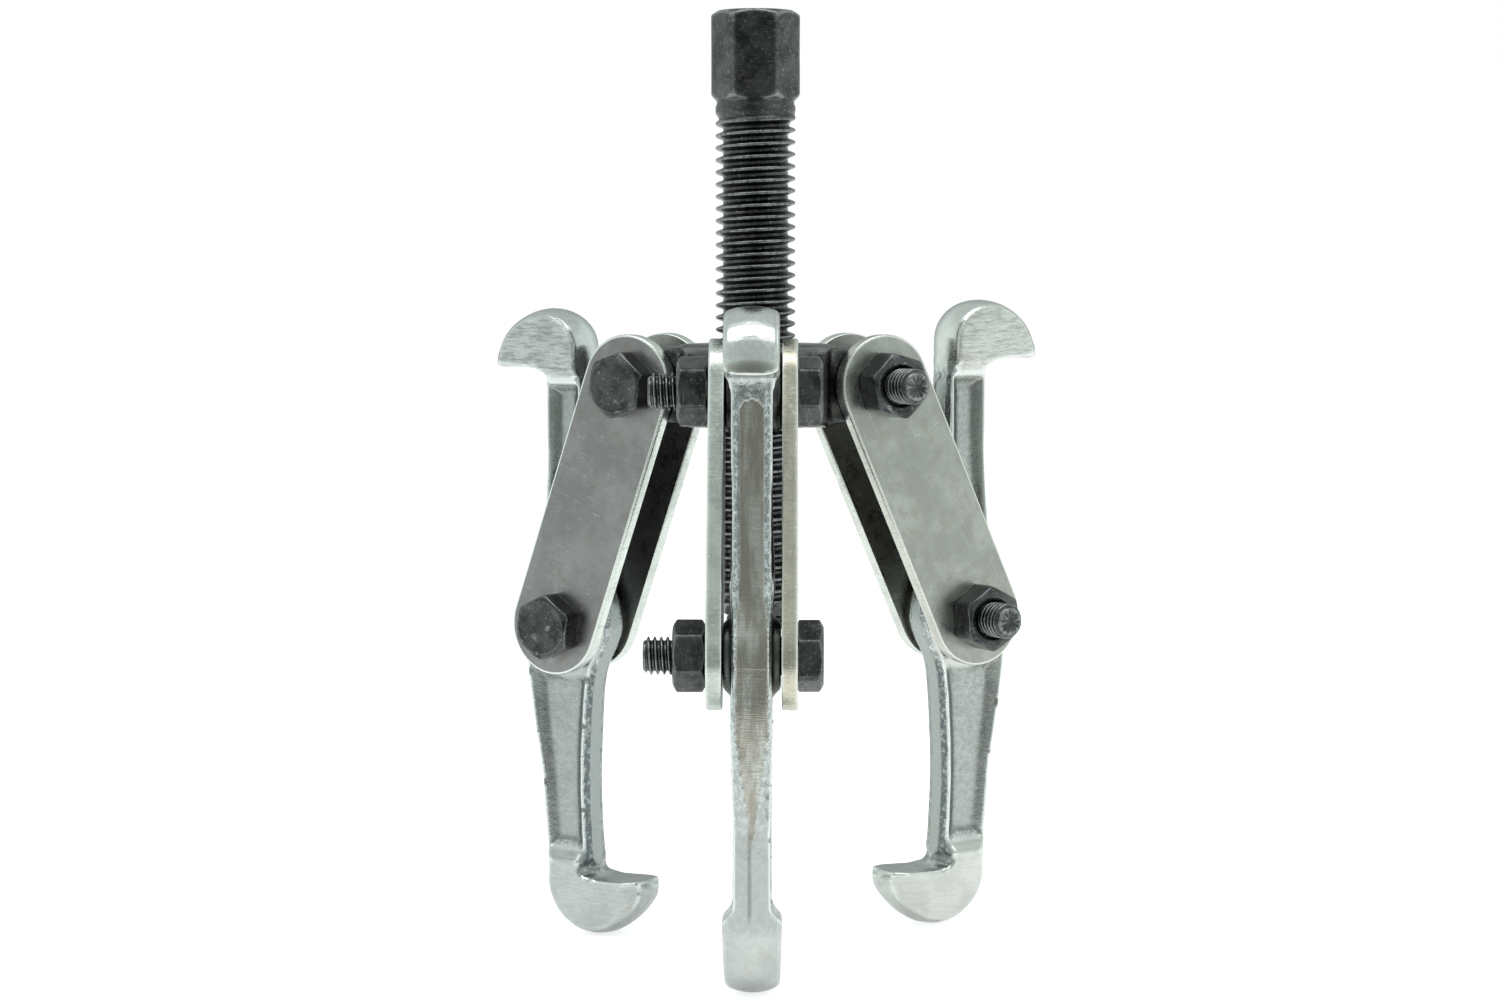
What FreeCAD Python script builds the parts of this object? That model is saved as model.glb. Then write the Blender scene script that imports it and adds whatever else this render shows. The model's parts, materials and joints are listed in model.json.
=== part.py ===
"""Gear puller with three reversible jaws, modelled standing on its lower hooks.

Frame: +Z up along the forcing screw, origin at the point of the screw. An arm at
azimuth A points away from the screw along (cos A, sin A, 0). In an arm's own frame
+X is outward, +Y is the side of the bolt heads and +Z is up.
"""

import FreeCAD
import Part

import math
import os

import Sketcher

# Driving dimensions in mm and degrees: alias, value, what it is.
SIZES = (
    ("pivot_height", 45.0, "upper pivots above the screw's point"),
    ("pivot_radius", 21.2, "upper pivots from the screw's axis"),
    ("link_length", 44.3, "upper pivot to lower pivot"),
    ("plate_radius", 8.5, "half the width of a link plate"),
    ("plate_thick", 2.5, "link plate"),
    ("plate_gap", 9.2, "between the two plates of an arm"),
    ("side_play", 0.1, "each side of a lug or a jaw's eye"),
    ("bolt_radius", 3.0, "M6"),
    ("bolt_reach", 24.0, "under the head"),
    ("hex_flats", 10.0, "M6 head and nut, across flats"),
    ("head_high", 4.0, "bolt head"),
    ("nut_high", 5.2, "nut"),
    ("nut_play", 0.03, "nut round the bolt"),
    ("hole_play", 0.08, "lug and eye round the bolt"),
    ("hub_radius", 12.2, "yoke hub"),
    ("hub_high", 13.0, "yoke hub and lugs"),
    ("screw_radius", 6.9, "thread crest, M14"),
    ("thread_pitch", 2.0, "M14"),
    ("thread_deep", 1.2, "crest to root"),
    ("bore_play", 0.1, "yoke bore round the thread crest"),
    ("thread_high", 92.0, "top of the thread above the screw's point"),
    ("thread_low", 8.4, "bottom of the thread above the screw's point"),
    ("shank_low", 6.8, "bottom of the plain end above the screw's point"),
    ("drive_flats", 13.0, "hex head of the screw, across flats"),
    ("drive_top", 107.0, "top of the hex head above the screw's point"),
    ("point_radius", 4.9, "centre point, at its shoulder"),
    ("spigot_radius", 2.5, "centre point's shank"),
    ("spigot_high", 9.0, "centre point's shank above its shoulder"),
    ("seat_height", 44.0, "hook seats above and below a jaw's pivot"),
    ("crown_height", 54.3, "top and bottom of a jaw from its pivot"),
    ("hook_reach", 14.5, "tip of the upper hook outward from the pivot"),
    ("claw_reach", 15.7, "tip of the lower hook inward from the pivot"),
    ("shaft_out", 4.3, "outer edge of the upper shaft"),
    ("shaft_in", 3.6, "inner edge of the upper shaft"),
    ("leg_out", 4.9, "outer edge of the lower shaft at its foot"),
    ("leg_in", 4.0, "inner edge of the lower shaft"),
    ("eye_radius", 8.4, "forged eye round the pivot"),
    ("root_radius", 2.4, "fillet from shaft to hook"),
    ("shaft_thick", 6.8, "jaw's shaft"),
    ("hook_thick", 8.6, "upper hook block"),
    ("claw_thick", 9.5, "lower hook block"),
    ("web_thick", 3.2, "web between the flanges"),
    ("boss_radius", 6.2, "raised boss of the eye at its foot"),
    ("rim_radius", 0.7, "rounding of a forging's rims"),
    ("edge_break", 0.4, "chamfer on the edge of a turned piece"),
    ("neck_high", 1.6, "plain neck between the thread and the hex head"),
    ("spigot_play", 0.05, "centre point's shank in the screw's end"),
    ("head_root", 0.5, "how far a bolt's shank starts inside its head"),
    ("lug_root", 1.5, "how far a lug starts inside the hub, from the bore"),
    ("tip_blunt", 0.6, "blunt edge at a hook's tip"),
    ("claw_curve", 14.0, "underside of the lower hook near its tip"),
    ("heel_step", 0.6, "heel of the lower hook inside the leg's outer edge"),
    ("foot_spread", 0.5, "lower shaft wider at its foot, on the inner edge"),
    ("neck_rise", 7.0, "upper shaft's start above the eye's rim"),
    ("neck_spread", 0.4, "upper shaft wider where it meets the eye"),
    ("belly_radius", 26.0, "hollow inner edge under the eye"),
    ("leg_start", 15.0, "lower shaft's straight inner edge below the eye's rim"),
    ("calf_rise", 16.0, "where the lower shaft's outer edge starts to swell"),
    ("calf_spread", 1.0, "lower shaft's outer edge there, beyond its foot"),
    ("eye_drop", 4.0, "lower end of the eye's straight outer edge"),
    ("block_rise", 2.7, "top of the lower hook's raised block above the seat"),
    ("block_lean", 1.1, "how far that block's inner corner leans"),
    ("boss_edge", 1.0, "cone on the rim of the eye's boss"),
    ("flange_wide", 0.6, "flat top of a flange beside the web"),
    ("web_start", 3.5, "upper web's hollow above the eye's rim"),
    ("web_stop", 2.6, "upper web's hollow below the hook's seat"),
    ("leg_web_start", 1.6, "lower web's hollow below the eye's rim"),
    ("leg_web_stop", 3.6, "lower web's hollow above the hook's seat"),
    ("leg_web_spread", 2.0, "lower web's hollow beyond the foot at its top"),
)

ARMS = (  # name, azimuth, angle of the links from the screw
    ("front", 270.0, 24.8),
    ("left", 150.0, 19.8),
    ("right", 30.0, 25.0),
)
# How far each hex is turned from having a flat on top: head and nut, upper and lower.
HEX_TURNS = {
    "front": (14.0, 14.0, 4.0, 15.0),
    "left": (22.0, 9.0, 17.0, 26.0),
    "right": (6.0, 20.0, 12.0, 8.0),
}
WRENCH_CHAMFER = 30.0  # degrees, on every hex
CHAMFER_START = 0.475  # radius where that chamfer starts, as a share of the flats
CHAMFER_END = 0.62  # radius outside the hex's corners, as a share of the flats
THREAD_ROOT = 0.0625  # half the flat at the thread's root, as a share of the pitch
THREAD_MOUTH = 0.48  # half the groove's mouth, as a share of the pitch
THREAD_RUN_OUT = 1.3  # how far the groove runs past the thread's end, in pitches
FLANK_LEAN = 17.0  # degrees, where the shaft's edges run onto the eye
BELLY_SHARE = (0.85, 1.85)  # end of the hollow under the eye, as shares of its start
WALL_SLOPE = 42.0  # degrees, inner walls of the flanges
BOSS_SHARE = 0.75  # height where the boss's cone starts, as a share of its face


class Size:
    """A length that keeps both its value and the expression that gives it."""

    def __init__(self, value, text):
        self.value = value
        self.text = text

    def __add__(self, other):
        other = as_size(other)
        return Size(self.value + other.value, f"({self.text} + {other.text})")

    def __sub__(self, other):
        other = as_size(other)
        return Size(self.value - other.value, f"({self.text} - {other.text})")

    def __mul__(self, factor):
        return Size(self.value * factor, f"({self.text} * {factor})")

    def __neg__(self):
        return self * -1


def as_size(number):
    return number if isinstance(number, Size) else Size(number, str(number))


doc = FreeCAD.newDocument("GearPuller")
sheet = doc.addObject("Spreadsheet::Sheet", "Sizes")
for row, (alias, value, meaning) in enumerate(SIZES, start=1):
    sheet.set(f"A{row}", meaning)
    sheet.set(f"B{row}", str(value))
    sheet.setAlias(f"B{row}", alias)
doc.recompute()
S = {alias: Size(float(value), f"Sizes.{alias}") for alias, value, _ in SIZES}
FLATS_TO_CORNERS = 1 / math.cos(math.pi / 6)


# ---------------------------------------------------------------- drawing helpers


def new_body(name):
    body = doc.addObject("PartDesign::Body", name)
    body.Label = name
    return body


def new_sketch(body, role, name, offset=None):
    """A sketch on one of the body's own planes: XY_Plane, XZ_Plane or YZ_Plane."""
    sketch = body.newObject("Sketcher::SketchObject", name)
    plane = next(f for f in body.Origin.OriginFeatures if f.Role == role)
    sketch.AttachmentSupport = [(plane, "")]
    sketch.MapMode = "FlatFace"
    if offset is not None:
        sketch.AttachmentOffset = FreeCAD.Placement(
            FreeCAD.Vector(0, 0, offset.value), FreeCAD.Rotation()
        )
        sketch.setExpression("AttachmentOffset.Base.z", offset.text)
    return sketch


def pin_coordinate(sketch, kind, geometry, corner, distance):
    """Fixes one coordinate of a corner and binds it to the sheet."""
    axis = {"DistanceX": -2, "DistanceY": -1}[kind]
    if abs(distance.value) < 1e-9:
        sketch.addConstraint(Sketcher.Constraint("PointOnObject", geometry, corner, axis))
        return
    if distance.value > 0:
        ends = (-1, 1, geometry, corner)
    else:
        ends = (geometry, corner, -1, 1)
        distance = -distance
    index = sketch.addConstraint(Sketcher.Constraint(kind, *ends, distance.value))
    sketch.setExpression(f"Constraints[{index}]", distance.text)


def outline(sketch, corners):
    """A closed outline. Each corner is (x, y) or (x, y, radius): a radius makes the way
    to the next corner an arc, turning left when positive and right when negative."""
    points = [(as_size(c[0]), as_size(c[1])) for c in corners]
    bends = [as_size(c[2]) if len(c) > 2 else None for c in corners]
    starts = []
    ends = []
    for index, (x, y) in enumerate(points):
        next_x, next_y = points[(index + 1) % len(points)]
        start = FreeCAD.Vector(x.value, y.value, 0)
        end = FreeCAD.Vector(next_x.value, next_y.value, 0)
        bend = bends[index]
        if bend is None:
            number = sketch.addGeometry(Part.LineSegment(start, end))
            starts.append((number, 1))
            ends.append((number, 2))
            continue
        radius = abs(bend.value)
        chord = end - start
        middle = (start + end) * 0.5
        reach = math.sqrt(max(radius**2 - (chord.Length / 2) ** 2, 0))
        left = FreeCAD.Vector(-chord.y, chord.x, 0).normalize()
        turns_left = bend.value > 0
        centre = middle + left * (reach if turns_left else -reach)
        circle = Part.Circle(centre, FreeCAD.Vector(0, 0, 1), radius)
        first, last = (start, end) if turns_left else (end, start)
        arc = Part.ArcOfCircle(circle, circle.parameter(first), circle.parameter(last))
        number = sketch.addGeometry(arc)
        starts.append((number, 1 if turns_left else 2))
        ends.append((number, 2 if turns_left else 1))
        size = bend if turns_left else -bend
        constraint = sketch.addConstraint(Sketcher.Constraint("Radius", number, radius))
        sketch.setExpression(f"Constraints[{constraint}]", size.text)
    for index, (x, y) in enumerate(points):
        sketch.addConstraint(
            Sketcher.Constraint("Coincident", *ends[index - 1], *starts[index])
        )
        pin_coordinate(sketch, "DistanceX", *starts[index], x)
        pin_coordinate(sketch, "DistanceY", *starts[index], y)


def circle(sketch, x, y, radius):
    x, y, radius = as_size(x), as_size(y), as_size(radius)
    centre = FreeCAD.Vector(x.value, y.value, 0)
    number = sketch.addGeometry(
        Part.Circle(centre, FreeCAD.Vector(0, 0, 1), radius.value)
    )
    pin_coordinate(sketch, "DistanceX", number, 3, x)
    pin_coordinate(sketch, "DistanceY", number, 3, y)
    constraint = sketch.addConstraint(Sketcher.Constraint("Radius", number, radius.value))
    sketch.setExpression(f"Constraints[{constraint}]", radius.text)


def feature(body, kind, name, profile, length=None, **settings):
    made = body.newObject(f"PartDesign::{kind}", name)
    made.Profile = profile
    for key, value in settings.items():
        setattr(made, key, value)
    if length is not None:
        made.Length = length.value
        made.setExpression("Length", length.text)
    profile.Visibility = False
    return made


def pad(body, name, profile, length, both_sides=False, **settings):
    settings["Midplane"] = both_sides
    return feature(body, "Pad", name, profile, length, **settings)


def round_rims(body, name, thick, radius):
    """Rounds every edge that lies in the two faces of a plate of this thickness."""
    doc.recompute()
    base = body.Tip
    rims = []
    for number, edge in enumerate(base.Shape.Edges, start=1):
        heights = [abs(vertex.Y) for vertex in edge.Vertexes]
        if all(abs(height - thick.value / 2) < 1e-6 for height in heights):
            rims.append(f"Edge{number}")
    fillet = body.newObject("PartDesign::Fillet", name)
    fillet.Base = (base, rims)
    fillet.Radius = radius.value
    fillet.setExpression("Radius", radius.text)
    return fillet


def through_pocket(body, name, profile):
    return feature(body, "Pocket", name, profile, Type=1, Midplane=True)


def turned(body, name, corners, kind="Revolution"):
    """A shape turned about the body's Z axis from an (radius, height) outline."""
    profile = new_sketch(body, "XZ_Plane", f"{name}_profile")
    outline(profile, corners)
    return feature(body, kind, name, profile, ReferenceAxis=(profile, ["V_Axis"]))


def hexagon(sketch, flats):
    """A hexagon with a flat towards +Y, so with corners on the X axis."""
    half = flats * 0.5
    corner = half * FLATS_TO_CORNERS
    side = corner * 0.5
    outline(
        sketch,
        [(corner, 0), (side, half), (-side, half), (-corner, 0), (-side, -half), (side, -half)],
    )


def chamfer_hex_end(body, name, flats, face, depth_sign):
    """Cuts the cone that rounds a hexagon's corners at one end. The cone starts on a
    circle just inside the flats, at height `face`, and falls away from it."""
    inner = flats * CHAMFER_START
    outer = flats * CHAMFER_END
    drop = (outer - inner) * (math.tan(math.radians(WRENCH_CHAMFER)) * depth_sign)
    corners = [(inner, face), (outer, face + drop), (outer, face)]
    if depth_sign < 0:
        corners.reverse()
    return turned(body, name, corners, kind="Groove")


def place(body, *steps):
    """Puts a body where a chain of placements, from the outermost inwards, says."""
    whole = FreeCAD.Placement()
    for step in steps:
        whole = whole.multiply(step)
    body.Placement = whole


def shift(x=0.0, y=0.0, z=0.0):
    return FreeCAD.Placement(FreeCAD.Vector(x, y, z), FreeCAD.Rotation())


def turn(axis, angle):
    return FreeCAD.Placement(FreeCAD.Vector(), FreeCAD.Rotation(FreeCAD.Vector(*axis), angle))


# ---------------------------------------------------------------- screw and yoke


def make_screw():
    """Hex head, plain neck as wide as the hex's flats, right-hand thread and a short
    plain end, in one piece, drilled from below for the centre point's shank."""
    body = new_body("forcing_screw")
    crest = S["screw_radius"]
    root = crest - S["thread_deep"]
    neck = S["drive_flats"] * 0.5
    edge = S["edge_break"]
    low = S["shank_low"]
    neck_top = S["thread_high"] + S["neck_high"]
    drilling = S["spigot_radius"] + S["spigot_play"]
    drilling_top = low + S["spigot_high"] + edge
    turned(
        body,
        "shank",
        [
            (drilling, low),
            (root - edge, low),
            (root, low + edge),
            (root, S["thread_low"]),
            (crest, S["thread_low"] + S["thread_deep"]),
            (crest, S["thread_high"]),
            (neck, S["thread_high"] + edge),
            (neck, neck_top),
            (0, neck_top),
            (0, drilling_top),
            (drilling, drilling_top),
        ],
    )
    head_foot = neck_top - edge
    head = new_sketch(body, "XY_Plane", "drive_hex", offset=head_foot)
    hexagon(head, S["drive_flats"])
    pad(body, "drive_head", head, S["drive_top"] - head_foot)
    chamfer_hex_end(body, "head_crown", S["drive_flats"], S["drive_top"], -1)
    chamfer_hex_end(body, "head_foot", S["drive_flats"], head_foot, 1)
    cut_thread(body, root, crest)
    return body


def cut_thread(body, root, crest):
    """A helical groove from below the thread's lower end to its top."""
    groove = new_sketch(body, "XZ_Plane", "thread_groove")
    start = S["thread_low"] - S["thread_pitch"]
    half_root = S["thread_pitch"] * THREAD_ROOT
    half_mouth = S["thread_pitch"] * THREAD_MOUTH
    mouth = crest + S["bore_play"]
    outline(
        groove,
        [
            (root, start - half_root),
            (mouth, start - half_mouth),
            (mouth, start + half_mouth),
            (root, start + half_root),
        ],
    )
    thread = body.newObject("PartDesign::SubtractiveHelix", "thread")
    thread.Profile = groove
    thread.ReferenceAxis = (groove, ["V_Axis"])
    thread.Mode = 0
    reach = S["thread_high"] - S["thread_low"] + S["thread_pitch"] * THREAD_RUN_OUT
    for name, size in (("Pitch", S["thread_pitch"]), ("Height", reach)):
        setattr(thread, name, size.value)
        thread.setExpression(name, size.text)


def make_centre_point():
    """The hard point that stays still against the shaft while the screw turns."""
    body = new_body("screw_centre_point")
    radius = S["point_radius"]
    spigot = S["spigot_radius"]
    edge = S["edge_break"]
    shoulder = S["shank_low"] - S["side_play"]
    top = shoulder + S["spigot_high"]
    turned(
        body,
        "point",
        [
            (0, 0),
            (radius, radius),
            (radius, shoulder - edge),
            (radius - edge, shoulder),
            (spigot, shoulder),
            (spigot, top - edge),
            (spigot - edge, top),
            (0, top),
        ],
    )
    return body


def make_yoke():
    """Hub with three drilled lugs. Its own origin is on the screw's axis at the height
    of the upper pivots."""
    body = new_body("yoke")
    half = S["hub_high"] * 0.5
    bore = S["screw_radius"] + S["bore_play"]
    rim = S["hub_radius"]
    edge = S["edge_break"] * 2
    turned(
        body,
        "hub",
        [
            (bore + edge, -half),
            (rim - edge, -half),
            (rim, -half + edge),
            (rim, half - edge),
            (rim - edge, half),
            (bore + edge, half),
            (bore, half - edge),
            (bore, -half + edge),
        ],
    )
    profile = new_sketch(body, "XZ_Plane", "lug_profile")
    start = bore + S["lug_root"]
    tip = S["pivot_radius"]
    outline(
        profile,
        [(start, -half), (tip, -half, half), (tip + half, 0, half), (tip, half), (start, half)],
    )
    lug = pad(body, "lug", profile, S["plate_gap"] - S["side_play"] * 2, both_sides=True)
    hole = new_sketch(body, "XZ_Plane", "lug_hole_profile")
    circle(hole, tip, 0, S["bolt_radius"] + S["hole_play"])
    lug_hole = through_pocket(body, "lug_hole", hole)
    pattern = body.newObject("PartDesign::PolarPattern", "three_lugs")
    pattern.Originals = [lug, lug_hole]
    axis = next(f for f in body.Origin.OriginFeatures if f.Role == "Z_Axis")
    pattern.Axis = (axis, [""])
    pattern.Angle = 360
    pattern.Occurrences = len(ARMS)
    body.Tip = pattern
    return body


# ---------------------------------------------------------------- links and fasteners


def make_plate(name):
    """Flat link with round ends. Its own origin is at the upper hole's centre, midway
    through its thickness, with the plate in the XZ plane."""
    body = new_body(name)
    radius = S["plate_radius"]
    length = S["link_length"]
    shape = new_sketch(body, "XZ_Plane", "plate_profile")
    outline(
        shape,
        [
            (radius, 0, radius),
            (0, radius, radius),
            (-radius, 0),
            (-radius, -length, radius),
            (0, -length - radius, radius),
            (radius, -length),
        ],
    )
    for height in (0, -length):
        circle(shape, 0, height, S["bolt_radius"] + S["hole_play"])
    pad(body, "plate", shape, S["plate_thick"], both_sides=True)
    return body


def make_bolt(name):
    """Hex bolt along +Z with the bearing face of its head at the origin."""
    body = new_body(name)
    radius = S["bolt_radius"]
    reach = S["bolt_reach"]
    edge = S["edge_break"] * 2
    start = -S["head_root"]
    turned(
        body,
        "shank",
        [(0, start), (radius, start), (radius, reach - edge), (radius - edge, reach), (0, reach)],
    )
    head = new_sketch(body, "XY_Plane", "head_hex", offset=-S["head_high"])
    hexagon(head, S["hex_flats"])
    pad(body, "head", head, S["head_high"])
    chamfer_hex_end(body, "head_crown", S["hex_flats"], -S["head_high"], 1)
    return body


def make_nut(name):
    """Hex nut along +Z with its bearing face at the origin, chamfered at both ends."""
    body = new_body(name)
    shape = new_sketch(body, "XY_Plane", "nut_hex")
    hexagon(shape, S["hex_flats"])
    circle(shape, 0, 0, S["bolt_radius"] + S["nut_play"])
    pad(body, "nut", shape, S["nut_high"])
    chamfer_hex_end(body, "inner_face", S["hex_flats"], as_size(0.0), 1)
    chamfer_hex_end(body, "outer_face", S["hex_flats"], S["nut_high"], -1)
    return body


# ---------------------------------------------------------------- jaws


def upper_hook_corners():
    """From the shaft's outer edge round the upper hook to the shaft's inner edge."""
    seat = S["seat_height"]
    crown = S["crown_height"]
    fillet = S["root_radius"]
    reach = S["hook_reach"]
    blunt = S["tip_blunt"]
    curve = crown - seat
    peak = reach - curve
    back = peak + S["shaft_in"]
    return [
        (S["shaft_out"], seat - fillet, -fillet),
        (S["shaft_out"] + fillet, seat),
        (reach - blunt, seat),
        (reach, seat + blunt, curve),
        (peak, crown, back),
        (-S["shaft_in"], crown - back),
    ]


def lower_hook_corners():
    """From the leg's inner edge round the lower hook to the leg's outer edge."""
    seat = -S["seat_height"]
    crown = -S["crown_height"]
    fillet = S["root_radius"]
    reach = -S["claw_reach"]
    blunt = S["tip_blunt"]
    heel_radius = seat - crown
    heel = S["leg_out"] - S["heel_step"]
    foot = -S["leg_in"] - S["foot_spread"]
    return [
        (foot, seat + fillet, -fillet),
        (foot - fillet, seat),
        (reach + blunt, seat),
        (reach, seat - blunt, S["claw_curve"]),
        (heel - heel_radius, crown, heel_radius),
        (heel, seat),
    ]


def forging_corners():
    """The whole outline of a jaw, from the upper hook inward and down to the claw."""
    eye = S["eye_radius"]
    lean = math.radians(FLANK_LEAN)
    flank_x = eye * math.cos(lean)
    flank_z = eye * math.sin(lean)
    belly_x, belly_z = BELLY_SHARE
    neck = eye + S["neck_rise"]
    spread = S["neck_spread"]
    ankle = -S["seat_height"]
    return [
        *upper_hook_corners(),
        (-S["shaft_in"] - spread, neck),
        (-flank_x, flank_z, eye),
        (-flank_x * belly_x, -flank_z * belly_z, -S["belly_radius"]),
        (-S["leg_in"], -eye - S["leg_start"]),
        *lower_hook_corners(),
        (S["leg_out"], ankle + S["root_radius"]),
        (S["leg_out"] + S["calf_spread"], ankle + S["calf_rise"]),
        (eye, -S["eye_drop"]),
        (eye, 0, eye),
        (flank_x, flank_z),
        (S["shaft_out"], neck),
    ]


def upper_block_corners():
    foot = S["seat_height"] - S["root_radius"]
    return [*upper_hook_corners(), (-S["shaft_in"], foot)]


def lower_block_corners():
    seat = -S["seat_height"]
    top = seat + S["block_rise"]
    lean = S["block_lean"]
    return [
        (-S["leg_in"] - lean, seat),
        *lower_hook_corners()[2:],
        (S["leg_out"], top),
        (-S["leg_in"] + lean, top),
    ]


def upper_web_corners():
    """The hollow beside the web of the upper shaft, at the flanges' top faces."""
    top = S["seat_height"] - S["web_stop"]
    foot = S["eye_radius"] + S["web_start"]
    inner = -S["shaft_in"] + S["flange_wide"]
    outer = S["shaft_out"] - S["flange_wide"]
    return [(inner, foot), (outer, foot), (outer, top), (inner, top)]


def lower_web_corners():
    """The hollow beside the web of the lower shaft, wider at its top."""
    top = -S["eye_radius"] - S["leg_web_start"]
    foot = -S["seat_height"] + S["leg_web_stop"]
    inner = -S["leg_in"] + S["edge_break"] * 0.5
    outer = S["leg_out"] - S["flange_wide"]
    return [(inner, foot), (outer, foot), (S["leg_out"] + S["leg_web_spread"], top), (inner, top)]


def make_jaw(name):
    """Drop-forged jaw with its pivot at the origin, in the XZ plane, +X outward."""
    body = new_body(name)
    for part, corners, thick in (
        ("forging", forging_corners(), S["shaft_thick"]),
        ("upper_block", upper_block_corners(), S["hook_thick"]),
        ("lower_block", lower_block_corners(), S["claw_thick"]),
    ):
        profile = new_sketch(body, "XZ_Plane", f"{part}_profile")
        outline(profile, corners)
        pad(body, part, profile, thick, both_sides=True)
        round_rims(body, f"{part}_rims", thick, S["rim_radius"])
    sides = (("head_side", 1), ("nut_side", -1))
    for side, sign in sides:
        add_boss(body, f"boss_{side}", sign)
    for side, sign in sides:
        sink_web(body, f"upper_web_{side}", upper_web_corners(), sign)
        sink_web(body, f"lower_web_{side}", lower_web_corners(), sign)
    hole = new_sketch(body, "XZ_Plane", "eye_hole_profile")
    circle(hole, 0, 0, S["bolt_radius"] + S["hole_play"])
    through_pocket(body, "eye_hole", hole)
    return body


def add_boss(body, name, sign):
    """A low cone round the pivot hole that meets the link plate."""
    profile = new_sketch(body, "YZ_Plane", f"{name}_profile")
    foot = S["boss_radius"]
    face = (S["plate_gap"] * 0.5 - S["side_play"]) * sign
    base = S["web_thick"] * (0.5 * sign)
    rim = foot - S["boss_edge"]
    outline(profile, [(base, 0), (base, foot), (face * BOSS_SHARE, foot), (face, rim), (face, 0)])
    feature(body, "Revolution", name, profile, ReferenceAxis=(profile, ["H_Axis"]))


def sink_web(body, name, corners, sign):
    """A hollow with sloped walls, from one side face down to the web."""
    profile = new_sketch(body, "XZ_Plane", f"{name}_profile", offset=S["shaft_thick"] * (-0.5 * sign))
    outline(profile, corners)
    depth = (S["shaft_thick"] - S["web_thick"]) * 0.5
    cut = feature(body, "Pocket", name, profile, depth)
    cut.Reversed = sign > 0
    cut.TaperAngle = -WALL_SLOPE


# ---------------------------------------------------------------- assembly

place(make_screw())
place(make_centre_point())
pivot_height = S["pivot_height"].value
place(make_yoke(), shift(z=pivot_height), turn((0, 0, 1), ARMS[0][1]))

link_length = S["link_length"].value
plate_middle = (S["plate_gap"].value + S["plate_thick"].value) / 2
plate_outside = S["plate_gap"].value / 2 + S["plate_thick"].value
along_bolt = turn((1, 0, 0), 90)  # turns a fastener's +Z to the arm's -Y, away from the heads
for arm, azimuth, opening in ARMS:
    upper = (turn((0, 0, 1), azimuth), shift(x=S["pivot_radius"].value, z=pivot_height))
    link = (*upper, turn((0, 1, 0), -opening))
    lower = (*link, shift(z=-link_length))
    for side, sign in (("head_side", 1), ("nut_side", -1)):
        place(make_plate(f"link_plate_{arm}_{side}"), *link, shift(y=sign * plate_middle))
    place(make_jaw(f"jaw_{arm}"), *lower, turn((0, 1, 0), opening))
    turns = HEX_TURNS[arm]
    for level, pivot, head_turn, nut_turn in (
        ("upper", link, turns[0], turns[1]),
        ("lower", lower, turns[2], turns[3]),
    ):
        place(
            make_bolt(f"{level}_bolt_{arm}"),
            *pivot, shift(y=plate_outside), along_bolt, turn((0, 0, 1), head_turn),
        )
        place(
            make_nut(f"{level}_nut_{arm}"),
            *pivot, shift(y=-plate_outside), along_bolt, turn((0, 0, 1), nut_turn),
        )

doc.recompute()

faults = [
    obj.Name for obj in doc.Objects if "Invalid" in obj.State or "Error" in obj.State
]
if faults:
    raise SystemExit(f"failed objects: {faults}")
bodies = [obj for obj in doc.Objects if obj.TypeId == "PartDesign::Body"]
for body in bodies:
    shape = body.Shape
    if shape.isNull() or not shape.isValid() or len(shape.Solids) != 1:
        raise SystemExit(f"bad shape: {body.Label}")

os.makedirs("parts", exist_ok=True)
for body in bodies:
    body.Shape.exportStep(f"parts/{body.Label}.step")
    box = body.Shape.BoundBox
    print(
        f"{body.Label:32s} {body.Shape.Volume:9.1f} mm3  "
        f"x {box.XMin:7.2f} {box.XMax:7.2f}  y {box.YMin:7.2f} {box.YMax:7.2f}  "
        f"z {box.ZMin:7.2f} {box.ZMax:7.2f}"
    )
print(len(bodies), "parts written")
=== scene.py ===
"""Gear puller with three reversible jaws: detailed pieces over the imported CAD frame.

Mesh code works in millimetres. A jaw's own frame has its origin at the lower pivot,
X outward, Y towards the bolt heads and Z up. A link's own frame has its origin at the
upper pivot and Z up along the link.
"""

import json
import math

import bmesh
import bpy
import numpy as np
from mathutils import Matrix, Vector


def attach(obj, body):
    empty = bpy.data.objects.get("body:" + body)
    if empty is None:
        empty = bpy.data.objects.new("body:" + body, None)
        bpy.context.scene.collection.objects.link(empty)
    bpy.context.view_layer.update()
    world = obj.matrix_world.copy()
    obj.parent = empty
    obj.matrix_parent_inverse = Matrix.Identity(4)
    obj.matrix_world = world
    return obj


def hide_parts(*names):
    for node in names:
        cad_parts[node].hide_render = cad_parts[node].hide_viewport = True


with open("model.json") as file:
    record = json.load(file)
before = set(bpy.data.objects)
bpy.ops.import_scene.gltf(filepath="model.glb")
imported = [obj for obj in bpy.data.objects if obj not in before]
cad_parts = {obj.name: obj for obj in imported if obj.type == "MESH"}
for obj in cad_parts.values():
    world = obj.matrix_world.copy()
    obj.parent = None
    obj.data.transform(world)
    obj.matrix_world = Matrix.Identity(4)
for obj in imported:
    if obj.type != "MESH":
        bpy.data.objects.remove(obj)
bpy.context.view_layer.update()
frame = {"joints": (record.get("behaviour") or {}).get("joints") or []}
MM = 0.001
ARMS = ("front", "left", "right")

# ------------ frames


def joint(name):
    return next(j for j in frame["joints"] if j["name"] == name)


def own_frame(origin, x, y, z):
    """4x4 matrix from a local frame in mm to the row frame in mm."""
    made = np.eye(4)
    made[:3, 0], made[:3, 1], made[:3, 2], made[:3, 3] = x, y, z, origin
    return made


def unit(vector):
    return np.asarray(vector, float) / np.linalg.norm(vector)


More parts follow.
